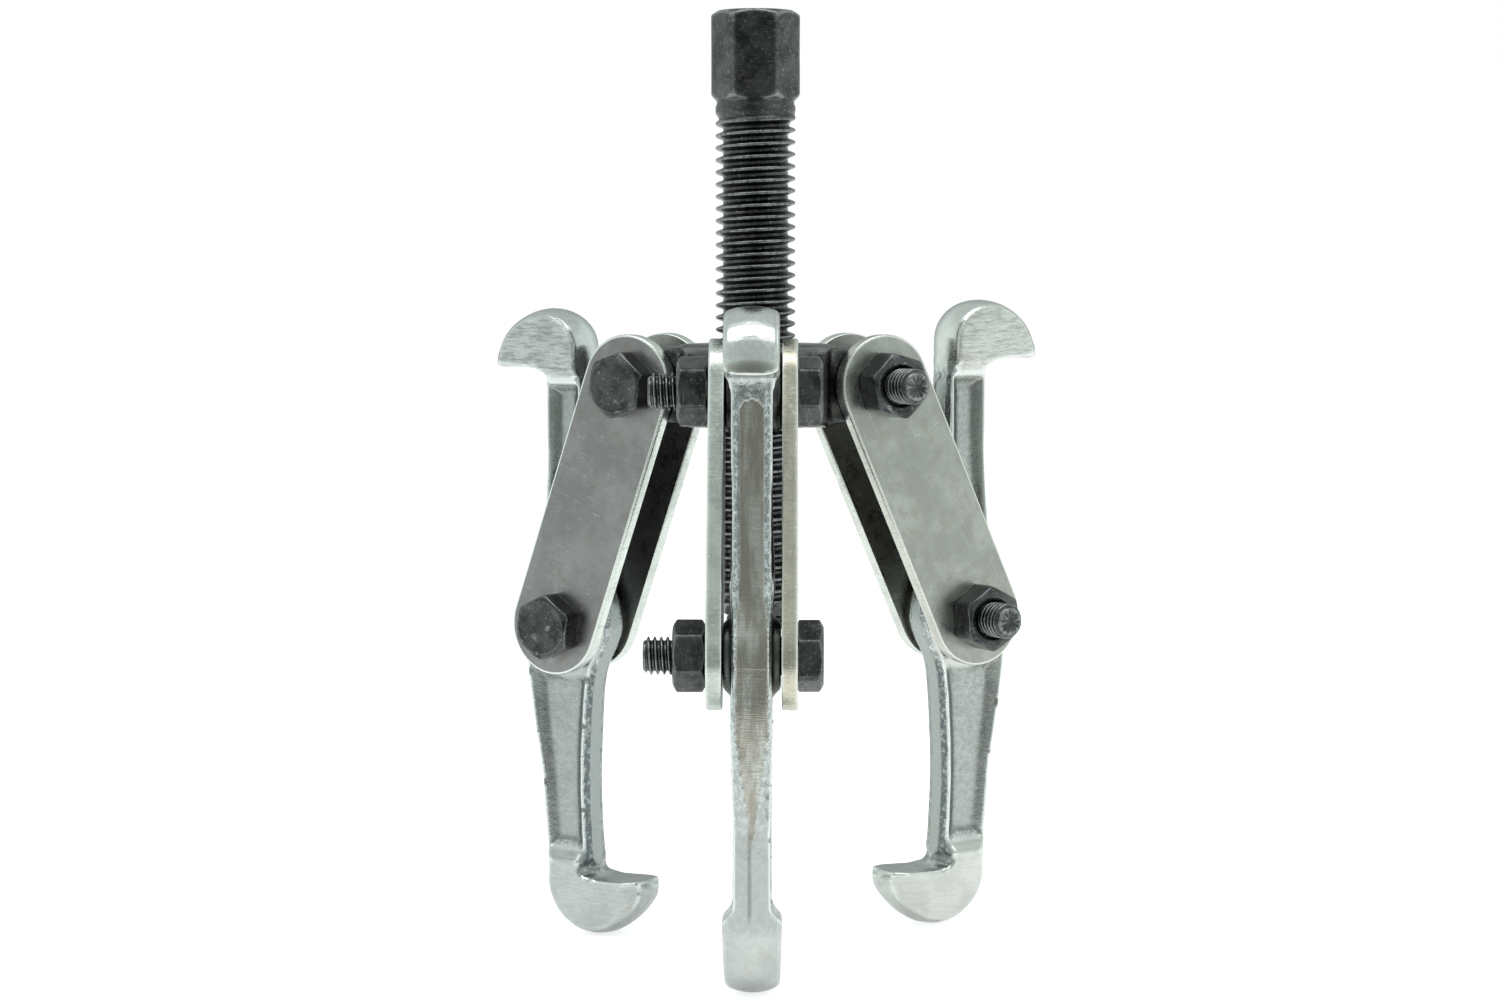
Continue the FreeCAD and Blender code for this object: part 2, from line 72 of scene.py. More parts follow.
def arm_frames(arm):
    upper = np.array(joint(f"link_swing_{arm}")["pos_m"]) / MM
    lower = np.array(joint(f"jaw_swing_{arm}")["pos_m"]) / MM
    head_side = unit(joint(f"jaw_swing_{arm}")["axis"])
    up = np.array([0.0, 0.0, 1.0])
    outward = np.cross(head_side, up)
    along = unit(upper - lower)
    link = own_frame(upper, np.cross(head_side, along), head_side, along)
    jaw = own_frame(lower, outward, head_side, up)
    return link, jaw


def shifted(y=0.0, z=0.0):
    made = np.eye(4)
    made[:3, 3] = (0.0, y, z)
    return made


def turned_about(axis, degrees):
    return np.array(Matrix.Rotation(math.radians(degrees), 4, axis))


# ------------ number helpers


def smooth_max(a, b, reach):
    overlap = np.maximum(reach - np.abs(a - b), 0.0) / reach
    return np.maximum(a, b) + overlap * overlap * reach * 0.25


def smooth_min(a, b, reach):
    return -smooth_max(-a, -b, reach)


def step(low, high, value):
    t = np.clip((value - low) / (high - low), 0.0, 1.0)
    return t * t * (3 - 2 * t)


def noise(points, size, seed):
    """Smooth noise from -1 to 1 with features of about `size` (a number or one per axis)."""
    rng = np.random.default_rng(seed)
    p = points / np.asarray(size, float)
    p = p - np.floor(p.min(0))
    cell = np.floor(p).astype(int)
    f = p - cell
    f = f * f * (3 - 2 * f)
    lattice = rng.uniform(-1, 1, tuple(cell.max(0) + 2))
    total = np.zeros(len(p))
    for corner in np.ndindex(2, 2, 2):
        weight = np.ones(len(p))
        for axis in range(3):
            weight = weight * (f[:, axis] if corner[axis] else 1 - f[:, axis])
        i, j, k = (cell[:, axis] + corner[axis] for axis in range(3))
        total += weight * lattice[i, j, k]
    return total


def polygon_gap(points, x, y):
    """Signed distance to a closed outline, negative inside."""
    best = np.full(x.shape, 1e9)
    inside = np.zeros(x.shape, bool)
    for (x0, y0), (x1, y1) in zip(points, np.roll(points, -1, axis=0)):
        ex, ey = x1 - x0, y1 - y0
        px, py = x - x0, y - y0
        t = np.clip((px * ex + py * ey) / max(ex * ex + ey * ey, 1e-12), 0, 1)
        best = np.minimum(best, (px - ex * t) ** 2 + (py - ey * t) ** 2)
        if y0 != y1:
            inside ^= ((y0 > y) != (y1 > y)) & (px < ex * py / ey)
    return np.where(inside, -1, 1) * np.sqrt(best)


def curve_through(points):
    """Catmull-Rom curve through the points, ends included."""
    per_span = 8
    p = np.asarray(points, float)
    p = np.vstack([2 * p[0] - p[1], p, 2 * p[-1] - p[-2]])
    t = np.linspace(0, 1, per_span, endpoint=False)[:, None]
    made = []
    for a, b, c, d in zip(p[:-3], p[1:-2], p[2:-1], p[3:]):
        made.append(
            0.5 * (2 * b + (c - a) * t + (2 * a - 5 * b + 4 * c - d) * t**2
                   + (3 * b - a - 3 * c + d) * t**3)
        )
    return np.vstack([*made, p[-2:-1]])


def arc(x, y, radius, start, stop, count=10):
    angle = np.radians(np.linspace(start, stop, count))
    return np.column_stack([x + radius * np.cos(angle), y + radius * np.sin(angle)])


# ------------ mesh helpers


def surface_net(field, axes):
    """Vertices and quads on the zero level of a field sampled on a regular grid."""
    inside = field < 0
    shape = np.array(field.shape) - 1
    corners = list(np.ndindex(2, 2, 2))

    def part(array, corner):
        return array[tuple(slice(c, c + n) for c, n in zip(corner, shape))]

    count = sum(part(inside, c).astype(np.int8) for c in corners)
    active = (count > 0) & (count < 8)
    place = np.full(tuple(shape), -1, np.int64)
    place[active] = np.arange(active.sum())
    total = np.zeros((active.sum(), 3))
    hits = np.zeros(active.sum())
    for a in corners:
        for axis in range(3):
            if a[axis]:
                continue
            b = tuple(1 if i == axis else c for i, c in enumerate(a))
            fa, fb = part(field, a)[active], part(field, b)[active]
            crosses = (fa < 0) != (fb < 0)
            share = np.where(crosses, fa / np.where(crosses, fa - fb, 1), 0)
            for i in range(3):
                total[:, i] += crosses * (share if i == axis else a[i])
            hits += crosses
    cell = np.argwhere(active)
    cell_size = np.array([a[1] - a[0] for a in axes])
    low = np.array([a[0] for a in axes])
    vertices = low + (cell + total / hits[:, None]) * cell_size
    quads = []
    for axis in range(3):
        second, third = (axis + 1) % 3, (axis + 2) % 3
        first = [slice(1, -1)] * 3
        first[axis] = slice(0, -1)
        last = [slice(1, -1)] * 3
        last[axis] = slice(1, None)
        a, b = inside[tuple(first)], inside[tuple(last)]
        for chosen, flip in ((a & ~b, False), (~a & b, True)):
            at = np.argwhere(chosen)
            at[:, second] += 1
            at[:, third] += 1
            loop = []
            for ds, dt in ((-1, -1), (0, -1), (0, 0), (-1, 0)):
                c = at.copy()
                c[:, second] += ds
                c[:, third] += dt
                loop.append(place[c[:, 0], c[:, 1], c[:, 2]])
            quad = np.column_stack(loop)
            quads.append(quad[:, ::-1] if flip else quad)
    return vertices, np.vstack(quads)


def settle(field, points, reach=0.06):
    """Moves points onto the field's zero level in two rounds."""
    for _ in range(2):
        value = field(*points.T)
        slope = np.column_stack([
            field(*(points + shift).T) - field(*(points - shift).T)
            for shift in np.eye(3) * reach
        ]) / (2 * reach)
        size = np.maximum((slope**2).sum(1), 0.2)
        points = points - np.clip(value / size, -0.2, 0.2)[:, None] * slope
    return points


def quad_normals(vertices, quads):
    across = vertices[quads[:, 2]] - vertices[quads[:, 0]]
    other = vertices[quads[:, 3]] - vertices[quads[:, 1]]
    face = np.cross(across, other)
    normals = np.zeros_like(vertices)
    for corner in range(4):
        np.add.at(normals, quads[:, corner], face)
    return normals / np.maximum(np.linalg.norm(normals, axis=1), 1e-12)[:, None]


def weld(vertices, faces):
    """Joins coincident vertices and drops the faces that collapse."""
    _, first, index = np.unique(
        np.round(vertices, 4), axis=0, return_index=True, return_inverse=True
    )
    index = index.ravel()
    kept = []
    for face in faces:
        loop = []
        for v in index[np.asarray(face)]:
            if not loop or loop[-1] != v:
                loop.append(int(v))
        if len(loop) > 1 and loop[0] == loop[-1]:
            loop.pop()
        if len(loop) > 2 and len(set(loop)) == len(loop):
            kept.append(loop)
    return vertices[first], kept


def rings_to_quads(ring_count, columns, first=0, wrap=False):
    quads = []
    for ring in range(ring_count if wrap else ring_count - 1):
        a = first + ring * columns
        b = first + ((ring + 1) % ring_count) * columns
        for c in range(columns):
            d = (c + 1) % columns
            quads.append((a + c, a + d, b + d, b + c))
    return quads


def turned_rings(profile, columns, shape=None):
    """Rings for (radius, height) points. Where the radius is None, `shape` gives it from
    the angle and the height."""
    angle = np.arange(columns) * 2 * math.pi / columns
    rings = []
    for radius, height in profile:
        r = shape(angle, height) if radius is None else np.full(columns, float(radius))
        rings.append(np.column_stack([r * np.cos(angle), r * np.sin(angle), np.full(columns, height)]))
    return np.vstack(rings)


THREAD_FORM = (  # distance from the crest in pitches, depth as a share of the whole
    (0.0, 0.0), (0.065, 0.02), (0.125, 0.10), (0.20, 0.36),
    (0.28, 0.74), (0.34, 0.94), (0.42, 1.0), (0.5, 1.0),
)


def thread_mesh(crest, deep, pitch, low, high, columns, limit, fade, phase=0.0):
    """A right-hand helical thread from `low` to `high`. `limit` gives the largest radius
    and `fade` the share of the depth at a height."""
    form = [(-d, s) for d, s in reversed(THREAD_FORM[1:])] + list(THREAD_FORM)
    turns = int((high - low) / pitch) + 4
    index = np.arange(turns * columns + 1)
    base = low + (phase - 2 + index / columns) * pitch
    angle = index * 2 * math.pi / columns
    vertices = np.zeros((len(index), len(form), 3))
    for j, (away, depth) in enumerate(form):
        z = np.clip(base + away * pitch, low, high)
        r = np.minimum(crest - deep * depth * fade(z), limit(z))
        vertices[:, j] = np.column_stack([r * np.cos(angle), r * np.sin(angle), z])
    m = len(form)
    i, j = np.meshgrid(np.arange(len(index) - 1), np.arange(m - 1), indexing="ij")
    a = (i * m + j).ravel()
    quads = np.column_stack([a, a + m, a + m + 1, a + 1])
    return vertices.reshape(-1, 3), quads.tolist()


def joined(*meshes):
    vertices, faces, start = [], [], 0
    for points, loops in meshes:
        vertices.append(points)
        faces.extend([[v + start for v in loop] for loop in loops])
        start += len(points)
    return weld(np.vstack(vertices), faces)


def convexity(mesh):
    """Per vertex, how sharply the surface bends outward, in 1/mm, smoothed twice."""
    count = len(mesh.vertices)
    co = np.zeros(count * 3)
    normal = np.zeros(count * 3)
    mesh.vertices.foreach_get("co", co)
    mesh.vertices.foreach_get("normal", normal)
    co, normal = co.reshape(-1, 3) / MM, normal.reshape(-1, 3)
    ends = np.zeros(len(mesh.edges) * 2, int)
    mesh.edges.foreach_get("vertices", ends)
    a, b = ends.reshape(-1, 2).T
    along = co[b] - co[a]
    bend = ((normal[b] - normal[a]) * along).sum(1) / np.maximum((along**2).sum(1), 1e-9)
    both = np.concatenate([a, b])
    share = np.maximum(np.bincount(both, minlength=count), 1)
    value = np.bincount(both, np.concatenate([bend, bend]), count) / share
    for _ in range(2):
        value = 0.5 * value + 0.5 * np.bincount(both, np.concatenate([value[b], value[a]]), count) / share
    return value


def placed(name, data):
    made = bpy.data.objects.new(name, data)
    bpy.context.scene.collection.objects.link(made)
    return made


def make_piece(name, vertices, faces, matrix, body, nodes, materials,
               masks=(), face_material=None, flat_material=None, tidy=False):
    """A mesh object in the row frame that rides on a body and replaces CAD nodes."""
    world = vertices @ matrix[:3, :3].T + matrix[:3, 3]
    mesh = bpy.data.meshes.new(name)
    mesh.from_pydata((world * MM).tolist(), [], [tuple(f) for f in faces])
    local = mesh.attributes.new("local", "FLOAT_VECTOR", "POINT")
    local.data.foreach_set("vector", np.asarray(vertices, np.float32).ravel())
    for key, values in dict(masks).items():
        mask = mesh.attributes.new(key, "FLOAT", "POINT")
        mask.data.foreach_set("value", np.asarray(values, np.float32))
    for material in materials:
        mesh.materials.append(material)
    if face_material is not None:
        mesh.polygons.foreach_set("material_index", face_material)
    if tidy:
        work = bmesh.new()
        work.from_mesh(mesh)
        bmesh.ops.recalc_face_normals(work, faces=work.faces)
        work.to_mesh(mesh)
        work.free()
    smooth = np.ones(len(mesh.polygons), bool)
    if flat_material is not None:
        index = np.zeros(len(mesh.polygons), int)
        mesh.polygons.foreach_get("material_index", index)
        smooth = index != flat_material
    mesh.polygons.foreach_set("use_smooth", smooth)
    mesh.update()
    bend = mesh.attributes.new("bend", "FLOAT", "POINT")
    bend.data.foreach_set("value", convexity(mesh).astype(np.float32))
    made = placed(name, mesh)
    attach(made, body)
    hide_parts(*nodes)
    return made


# ------------ materials


def connect(tree, source, target):
    """Links a socket to an input, or sets the input to a number, a vector or a colour."""
    if isinstance(source, bpy.types.NodeSocket):
        tree.links.new(source, target)
    elif isinstance(source, tuple) and len(source) < len(target.default_value):
        target.default_value = (*source, 1.0)
    else:
        target.default_value = source


def add_node(tree, kind, inputs=(), **settings):
    """A node with its inputs given as {name or index: socket or value}."""
    made = tree.nodes.new(kind)
    for key, value in settings.items():
        setattr(made, key, value)
    for key, value in dict(inputs).items():
        connect(tree, value, made.inputs[key])
    return made


def add_ramp(tree, value, low, high, to_low=0.0, to_high=1.0):
    inputs = {"Value": value, "From Min": low, "From Max": high, "To Min": to_low, "To Max": to_high}
    return add_node(tree, "ShaderNodeMapRange", inputs, interpolation_type="SMOOTHSTEP").outputs["Result"]


def add_math(tree, operation, a, b):
    return add_node(tree, "ShaderNodeMath", {0: a, 1: b}, operation=operation).outputs[0]


class Look:
    """One node material on a metallic Principled shader, with short node helpers. Its
    textures lie in the piece's own frame, shifted by `move` so that no two looks repeat."""

    def __init__(self, name, move):
        self.material = bpy.data.materials.new(name)
        self.material.use_nodes = True
        self.tree = self.material.node_tree
        self.shader = self.tree.nodes["Principled BSDF"]
        self.shader.inputs["Metallic"].default_value = 1.0
        self.move = move
        self.place = self.attribute("local", "Vector")
        self.moved = self.stretched()

    def attribute(self, name, output="Fac"):
        return add_node(self.tree, "ShaderNodeAttribute", attribute_name=name).outputs[output]

    def ramp(self, value, *ends):
        return add_ramp(self.tree, value, *ends)

    def times(self, a, b):
        return add_math(self.tree, "MULTIPLY", a, b)

    def plus(self, a, b):
        return add_math(self.tree, "ADD", a, b)

    def minus(self, a, b):
        return add_math(self.tree, "SUBTRACT", a, b)

    def stretched(self, scale=(1.0, 1.0, 1.0), turn=(0, 0, 0), move=None):
        angles = tuple(math.radians(t) for t in turn)
        inputs = {"Vector": self.place, "Location": move or self.move, "Rotation": angles, "Scale": scale}
        return add_node(self.tree, "ShaderNodeMapping", inputs, vector_type="POINT").outputs["Vector"]

    def noise(self, scale, detail, rough, vector=None):
        inputs = {"Vector": vector or self.moved, "Scale": scale, "Detail": detail, "Roughness": rough}
        return add_node(self.tree, "ShaderNodeTexNoise", inputs).outputs["Fac"]

    def mix(self, share, a, b):
        inputs = {"Factor": share, 6: a, 7: b}  # 6 and 7 are the colour sockets A and B
        return add_node(self.tree, "ShaderNodeMix", inputs, data_type="RGBA").outputs[2]

    def over(self, colour, share, strength, tone):
        """`tone` over `colour`, at `strength` where `share` is 1."""
        return self.mix(self.times(share, strength), colour, tone)

    def finish(self, colour, roughness, bumps):
        """The finished material. `bumps` are (height, mm for a height of 1), the lowest first."""
        connect(self.tree, colour, self.shader.inputs["Base Color"])
        connect(self.tree, roughness, self.shader.inputs["Roughness"])
        normal = {}
        for height, deep in bumps:
            inputs = {"Distance": deep * MM, "Height": height, **normal}
            normal = {"Normal": add_node(self.tree, "ShaderNodeBump", inputs).outputs["Normal"]}
        connect(self.tree, normal["Normal"], self.shader.inputs["Normal"])
        return self.material


def jaw_look(arm, seed, tint, streaky):
    """Bright zinc over a forged skin, with a ground flash strip and scraped side faces.
    The masks are described in make_jaws."""
    look = Look(f"forged_zinc_{arm}", (seed * 3.1, seed * 1.7, seed * 2.3))
    strip, flank, foot, hollow, smooth, bend = map(
        look.attribute, ("strip", "flank", "foot", "hollow", "smooth", "bend"))
    outer, line, wall, lip, dim, pale = map(look.attribute, ("outer", "line", "wall", "lip", "dim", "pale"))
    side = look.times(look.attribute("side"), streaky)
    blotch = look.noise(0.16, 3.0, 0.55)
    mottle = look.noise(1.1, 4.0, 0.65)
    speck = look.noise(3.2, 3.0, 0.6)
    streak = look.noise(1.0, 4.0, 0.68, look.stretched((0.34, 1.0, 2.2), (0, 14, 0)))
    fine_streak = look.noise(1.0, 3.0, 0.6, look.stretched((0.9, 2.0, 8.0), (0, 10, 0)))
    ground = look.noise(1.0, 3.0, 0.6, look.stretched((1.0, 0.25, 4.5), (5, 0, 0)))

    colour = look.mix(look.ramp(blotch, 0.36, 0.64), tuple(c * 0.88 for c in tint), tint)
    colour = look.over(colour, foot, 0.45, (0.36, 0.385, 0.375))
    cold = look.mix(look.ramp(mottle, 0.44, 0.60), (0.33, 0.355, 0.36), (0.72, 0.79, 0.81))
    colour = look.over(colour, flank, 0.78, cold)
    colour = look.over(colour, look.times(look.ramp(speck, 0.45, 0.34), flank), 0.7, (0.13, 0.135, 0.13))
    # Painted shade: the dim mask darkens the flanks towards a cold dark grey.
    colour = look.over(colour, dim, look.ramp(mottle, 0.62, 0.45, 0.45, 0.95), (0.15, 0.175, 0.18))
    for marks, strength, tone in (
        (look.ramp(streak, 0.54, 0.38), 0.72, (0.27, 0.28, 0.275)),
        (look.ramp(fine_streak, 0.46, 0.34), 0.55, (0.26, 0.27, 0.26)),
        (look.ramp(streak, 0.60, 0.70), 0.5, (0.90, 0.94, 0.93)),
    ):
        colour = look.over(colour, look.times(marks, side), strength, tone)
    colour = look.over(colour, strip, 0.85, (0.33, 0.365, 0.355))
    run = look.noise(1.0, 3.0, 0.6, look.stretched((0.5, 0.55, 0.10)))
    brown = look.mix(look.ramp(run, 0.40, 0.66), (0.40, 0.365, 0.305), (0.70, 0.69, 0.635))
    colour = look.over(colour, look.ramp(ground, 0.34, 0.64, 0.50, 0.95), outer, brown)
    # Painted highlight: pale lightens the upper hooks' rims, the ramp above the lower block and the bevel up
    # to the upper block.
    colour = look.over(colour, pale, 0.75, (0.80, 0.83, 0.82))
    colour = look.over(colour, line, 0.75, (0.12, 0.12, 0.11))
    stain = look.noise(0.24, 4.0, 0.65, look.stretched(move=look.move[::-1]))
    colour = look.over(colour, look.ramp(stain, 0.56, 0.74), 0.35, (0.40, 0.33, 0.25))
    colour = look.over(colour, lip, 0.62, (0.27, 0.25, 0.205))
    # Painted shade: the web's recess (hollow) and its walls are darkened.
    colour = look.over(colour, hollow, look.ramp(mottle, 0.35, 0.65, 0.80, 0.50), (0.33, 0.36, 0.36))
    colour = look.over(colour, wall, 0.55, (0.25, 0.26, 0.25))
    # Painted shade: concave creases, away from the hooks' backs, are darkened.
    deep = look.times(look.ramp(bend, -0.04, -0.40), look.minus(1.0, smooth))
    colour = look.over(colour, deep, 0.5, (0.20, 0.195, 0.18))
    # Painted highlight: sharply convex edges are lightened, less so on the flanks.
    bright = look.ramp(bend, 0.22, 0.9)
    colour = look.over(colour, bright, look.minus(0.75, look.times(flank, 0.4)), (0.94, 0.98, 0.97))

    rough = look.plus(look.ramp(speck, 0.3, 0.7, 0.15, 0.27), look.times(strip, 0.05))
    rough = look.minus(look.plus(rough, look.times(hollow, 0.06)), look.times(bright, 0.04))
    coarse = look.minus(1.0, look.times(smooth, 0.8))
    return look.finish(colour, rough, [
        (look.times(streak, side), 0.24), (look.times(fine_streak, side), 0.07),
        (look.times(ground, strip), 0.035), (look.times(mottle, flank), 0.24),
        (look.times(speck, flank), 0.07), (look.times(mottle, hollow), 0.14),
        (look.times(speck, coarse), 0.02),
    ])


def scratch_lines(look, scale, turn, low, high, move=None):
    """Thin straight scratches: the highest crests of a noise that is stretched along them."""
    noise_value = look.noise(1.0, 1.0, 0.4, look.stretched(scale, turn, move))
    return look.ramp(noise_value, low, high)


def plate_face_look(arm, seed, tint):
    """Rolled strip with a mottled satin zinc plate and small pale scratches."""
    look = Look(f"link_plate_face_{arm}", (seed * 5.3, seed * 2.9, seed * 4.1))
    cloud = look.noise(0.11, 4.0, 0.6)
    mottle = look.noise(0.55, 5.0, 0.65, look.stretched((1.0, 1.0, 0.7), (0, 20, 0)))
    grain = look.noise(5.0, 2.0, 0.6)
    fleck = look.noise(2.2, 3.0, 0.6)
    rolled = look.noise(1.0, 3.0, 0.6, look.stretched((5.0, 1.0, 0.12), (0, 2, 0)))
    warm = tuple(c * share for c, share in zip(tint, (0.82, 0.76, 0.73)))
    pale = tuple(min(c * 1.30, 1.0) for c in tint)
    colour = look.mix(look.ramp(cloud, 0.38, 0.62), tuple(c * 0.80 for c in tint), tint)
    colour = look.mix(look.ramp(mottle, 0.50, 0.66, 0.0, 0.7), colour, warm)
    colour = look.mix(look.ramp(mottle, 0.47, 0.34, 0.0, 0.22), colour, pale)
    colour = look.mix(look.ramp(fleck, 0.56, 0.68, 0.0, 0.35), colour, warm)
    colour = look.mix(look.ramp(rolled, 0.55, 0.75, 0.0, 0.35), colour, pale)
    scratches = 0.0
    for turn, apart in ((28, 0.0), (-41, 7.0), (74, 15.0)):
        move = (look.move[0] + apart, 0, look.move[2])
        lines = scratch_lines(look, (0.35, 1.0, 7.0), (0, turn, 0), 0.735, 0.775, move)
        scratches = add_math(look.tree, "MAXIMUM", scratches, lines)
    colour = look.over(colour, scratches, 0.4, (0.70, 0.72, 0.70))
    rough = look.ramp(mottle, 0.3, 0.7, 0.24, 0.38)
    return look.finish(colour, rough, [(mottle, 0.016), (rolled, 0.006), (grain, 0.006), (scratches, 0.012)])


def plate_edge_look(arm, seed, tint):
    """Sheared edge with torn marks across the thickness and pale specks; its rounded rims are painted lighter
    as a highlight.
    """
    look = Look(f"link_plate_edge_{arm}", (seed * 2.3, 0.0, seed * 3.7))
    shear = look.noise(1.0, 4.0, 0.65, look.stretched((2.6, 0.30, 2.6)))
    speck = look.noise(1.6, 3.0, 0.6)
    cloud = look.noise(0.2, 3.0, 0.6)
    colour = look.mix(look.ramp(cloud, 0.35, 0.65), tint, tuple(c * 0.82 for c in tint))
    colour = look.mix(look.ramp(shear, 0.46, 0.34, 0.0, 0.42), colour, (0.26, 0.25, 0.22))
    colour = look.mix(look.ramp(speck, 0.60, 0.70, 0.0, 0.5), colour, (0.90, 0.95, 0.91))
    # Painted highlight: the rounded rims are lightened.
    colour = look.mix(look.ramp(look.attribute("bend"), 0.2, 1.2, 0.0, 0.5), colour, (0.92, 0.95, 0.92))
    return look.finish(colour, look.ramp(speck, 0.3, 0.7, 0.20, 0.36), [(shear, 0.03), (speck, 0.01)])


def oxide_look(name, seed, wear_and_highlight_at, wear_and_highlight_share, tone=1.0, glints=0.5):
    """Black oxide over turned and forged steel, paler on its sharp edges, partly from rubbing and partly as a
    painted highlight.
    """
    look = Look(name, (seed * 4.3, seed * 3.3, seed * 1.9))
    cloud = look.noise(0.22, 4.0, 0.6)
    mottle = look.noise(1.3, 4.0, 0.6)
    grain = look.noise(6.0, 3.0, 0.6)
    fleck = look.noise(2.1, 3.0, 0.6, look.stretched(move=look.move[::-1]))
    dark = tuple(c * tone for c in (0.034, 0.036, 0.038))
    light = tuple(c * tone for c in (0.094, 0.096, 0.098))
    colour = look.mix(look.ramp(cloud, 0.34, 0.66), dark, light)
    colour = look.mix(look.ramp(mottle, 0.52, 0.68, 0.0, 0.6), colour, (0.165, 0.150, 0.128))
    # Sharp edges paler: partly rubbed-off oxide, partly a painted highlight on edges and thread crests.
    edge = look.ramp(look.attribute("bend"), *wear_and_highlight_at)
    rubbed_and_highlit = look.times(edge, look.ramp(mottle, 0.30, 0.56, 0.25, 1.0))
    colour = look.over(colour, rubbed_and_highlit, wear_and_highlight_share, (0.42, 0.45, 0.45))
    colour = look.mix(look.ramp(fleck, 0.63, 0.70, 0.0, glints), colour, (0.42, 0.43, 0.41))
    for turn, strength in ((31, 0.45), (-47, 0.45), (8, 0.3)):
        lines = scratch_lines(look, (0.45, 0.45, 8.0), (12, turn, 0), 0.72, 0.765)
        colour = look.over(colour, lines, strength, (0.36, 0.37, 0.36))
    rough = look.plus(look.ramp(mottle, 0.3, 0.7, 0.13, 0.26), look.times(edge, 0.03))
    return look.finish(colour, rough, [(mottle, 0.022), (fleck, 0.05), (grain, 0.010)])


# ------------ jaws

JAW_CELL = 0.29
EYE_RADIUS = 8.4
HOLE_RADIUS = 3.08
SHAFT_HALF = 3.52
WEB_HALF = 1.6
EYE_HALF = 3.2
BOSS_HALF = 4.5
UPPER_BLOCK_HALF = 4.3
LOWER_BLOCK_HALF = 4.75
WALL_RISE = 1.11  # of the flanges' inner walls, mm per mm
FLANK_LEAN = 0.36


def jaw_outline():
    outer = curve_through([
        (4.3, 41.6), (4.25, 34), (4.25, 27), (4.8, 18), (5.75, 10.4), (6.65, 6.6), (7.8, 3.2), (8.35, 0),
        (8.35, -4), (8.3, -8), (7.75, -13), (7.2, -18), (6.3, -25), (5.6, -32), (5.1, -38), (4.9, -41.4),
    ])
    heel = arc(-5.3, -44.4, 9.6, 0, -88, 18)
    under_claw = curve_through([
        (-5.3, -54.0), (-8.5, -53.3), (-11.5, -51.5), (-13.8, -49.3), (-15.05, -47.6), (-15.55, -46.2),
    ])
    tip = arc(-14.2, -45.2, 1.45, 205, 80, 10)
    lower_seat = arc(-7.0, -41.6, 2.4, -90, 0, 8)
    inner = curve_through([
        (-4.6, -41.4), (-4.2, -36), (-3.9, -29), (-4.0, -22), (-4.45, -14), (-4.9, -10), (-5.8, -7),
        (-7.3, -4.1), (-8.3, -0.9), (-7.95, 2.8), (-6.9, 6.2), (-5.75, 9.8), (-4.6, 14.5), (-3.85, 20),
        (-3.7, 30), (-3.55, 38), (-3.3, 42.5), (-3.15, 46.2),
    ])
    crown = np.vstack([arc(3.95, 47.15, 7.1, 174, 90, 14), arc(4.1, 44.0, 10.3, 88, 20, 14)])
    nose = np.array([(14.35, 46.3), (14.48, 45.2), (14.4, 44.3), (14.05, 43.9)])
    upper_seat = np.vstack([[(12.0, 44.03), (9.2, 44.14)], arc(6.7, 41.6, 2.4, 90, 180, 8)])
    return np.vstack([outer, heel, under_claw, tip, lower_seat, inner, crown, nose, upper_seat])


def blurred(field, rounds):
    for _ in range(rounds):
        padded = np.pad(field, 1, mode="edge")
        field = (padded[:-2, 1:-1] + padded[2:, 1:-1] + padded[1:-1, :-2] + padded[1:-1, 2:]
                 + 4 * padded[1:-1, 1:-1]) / 8
    return field


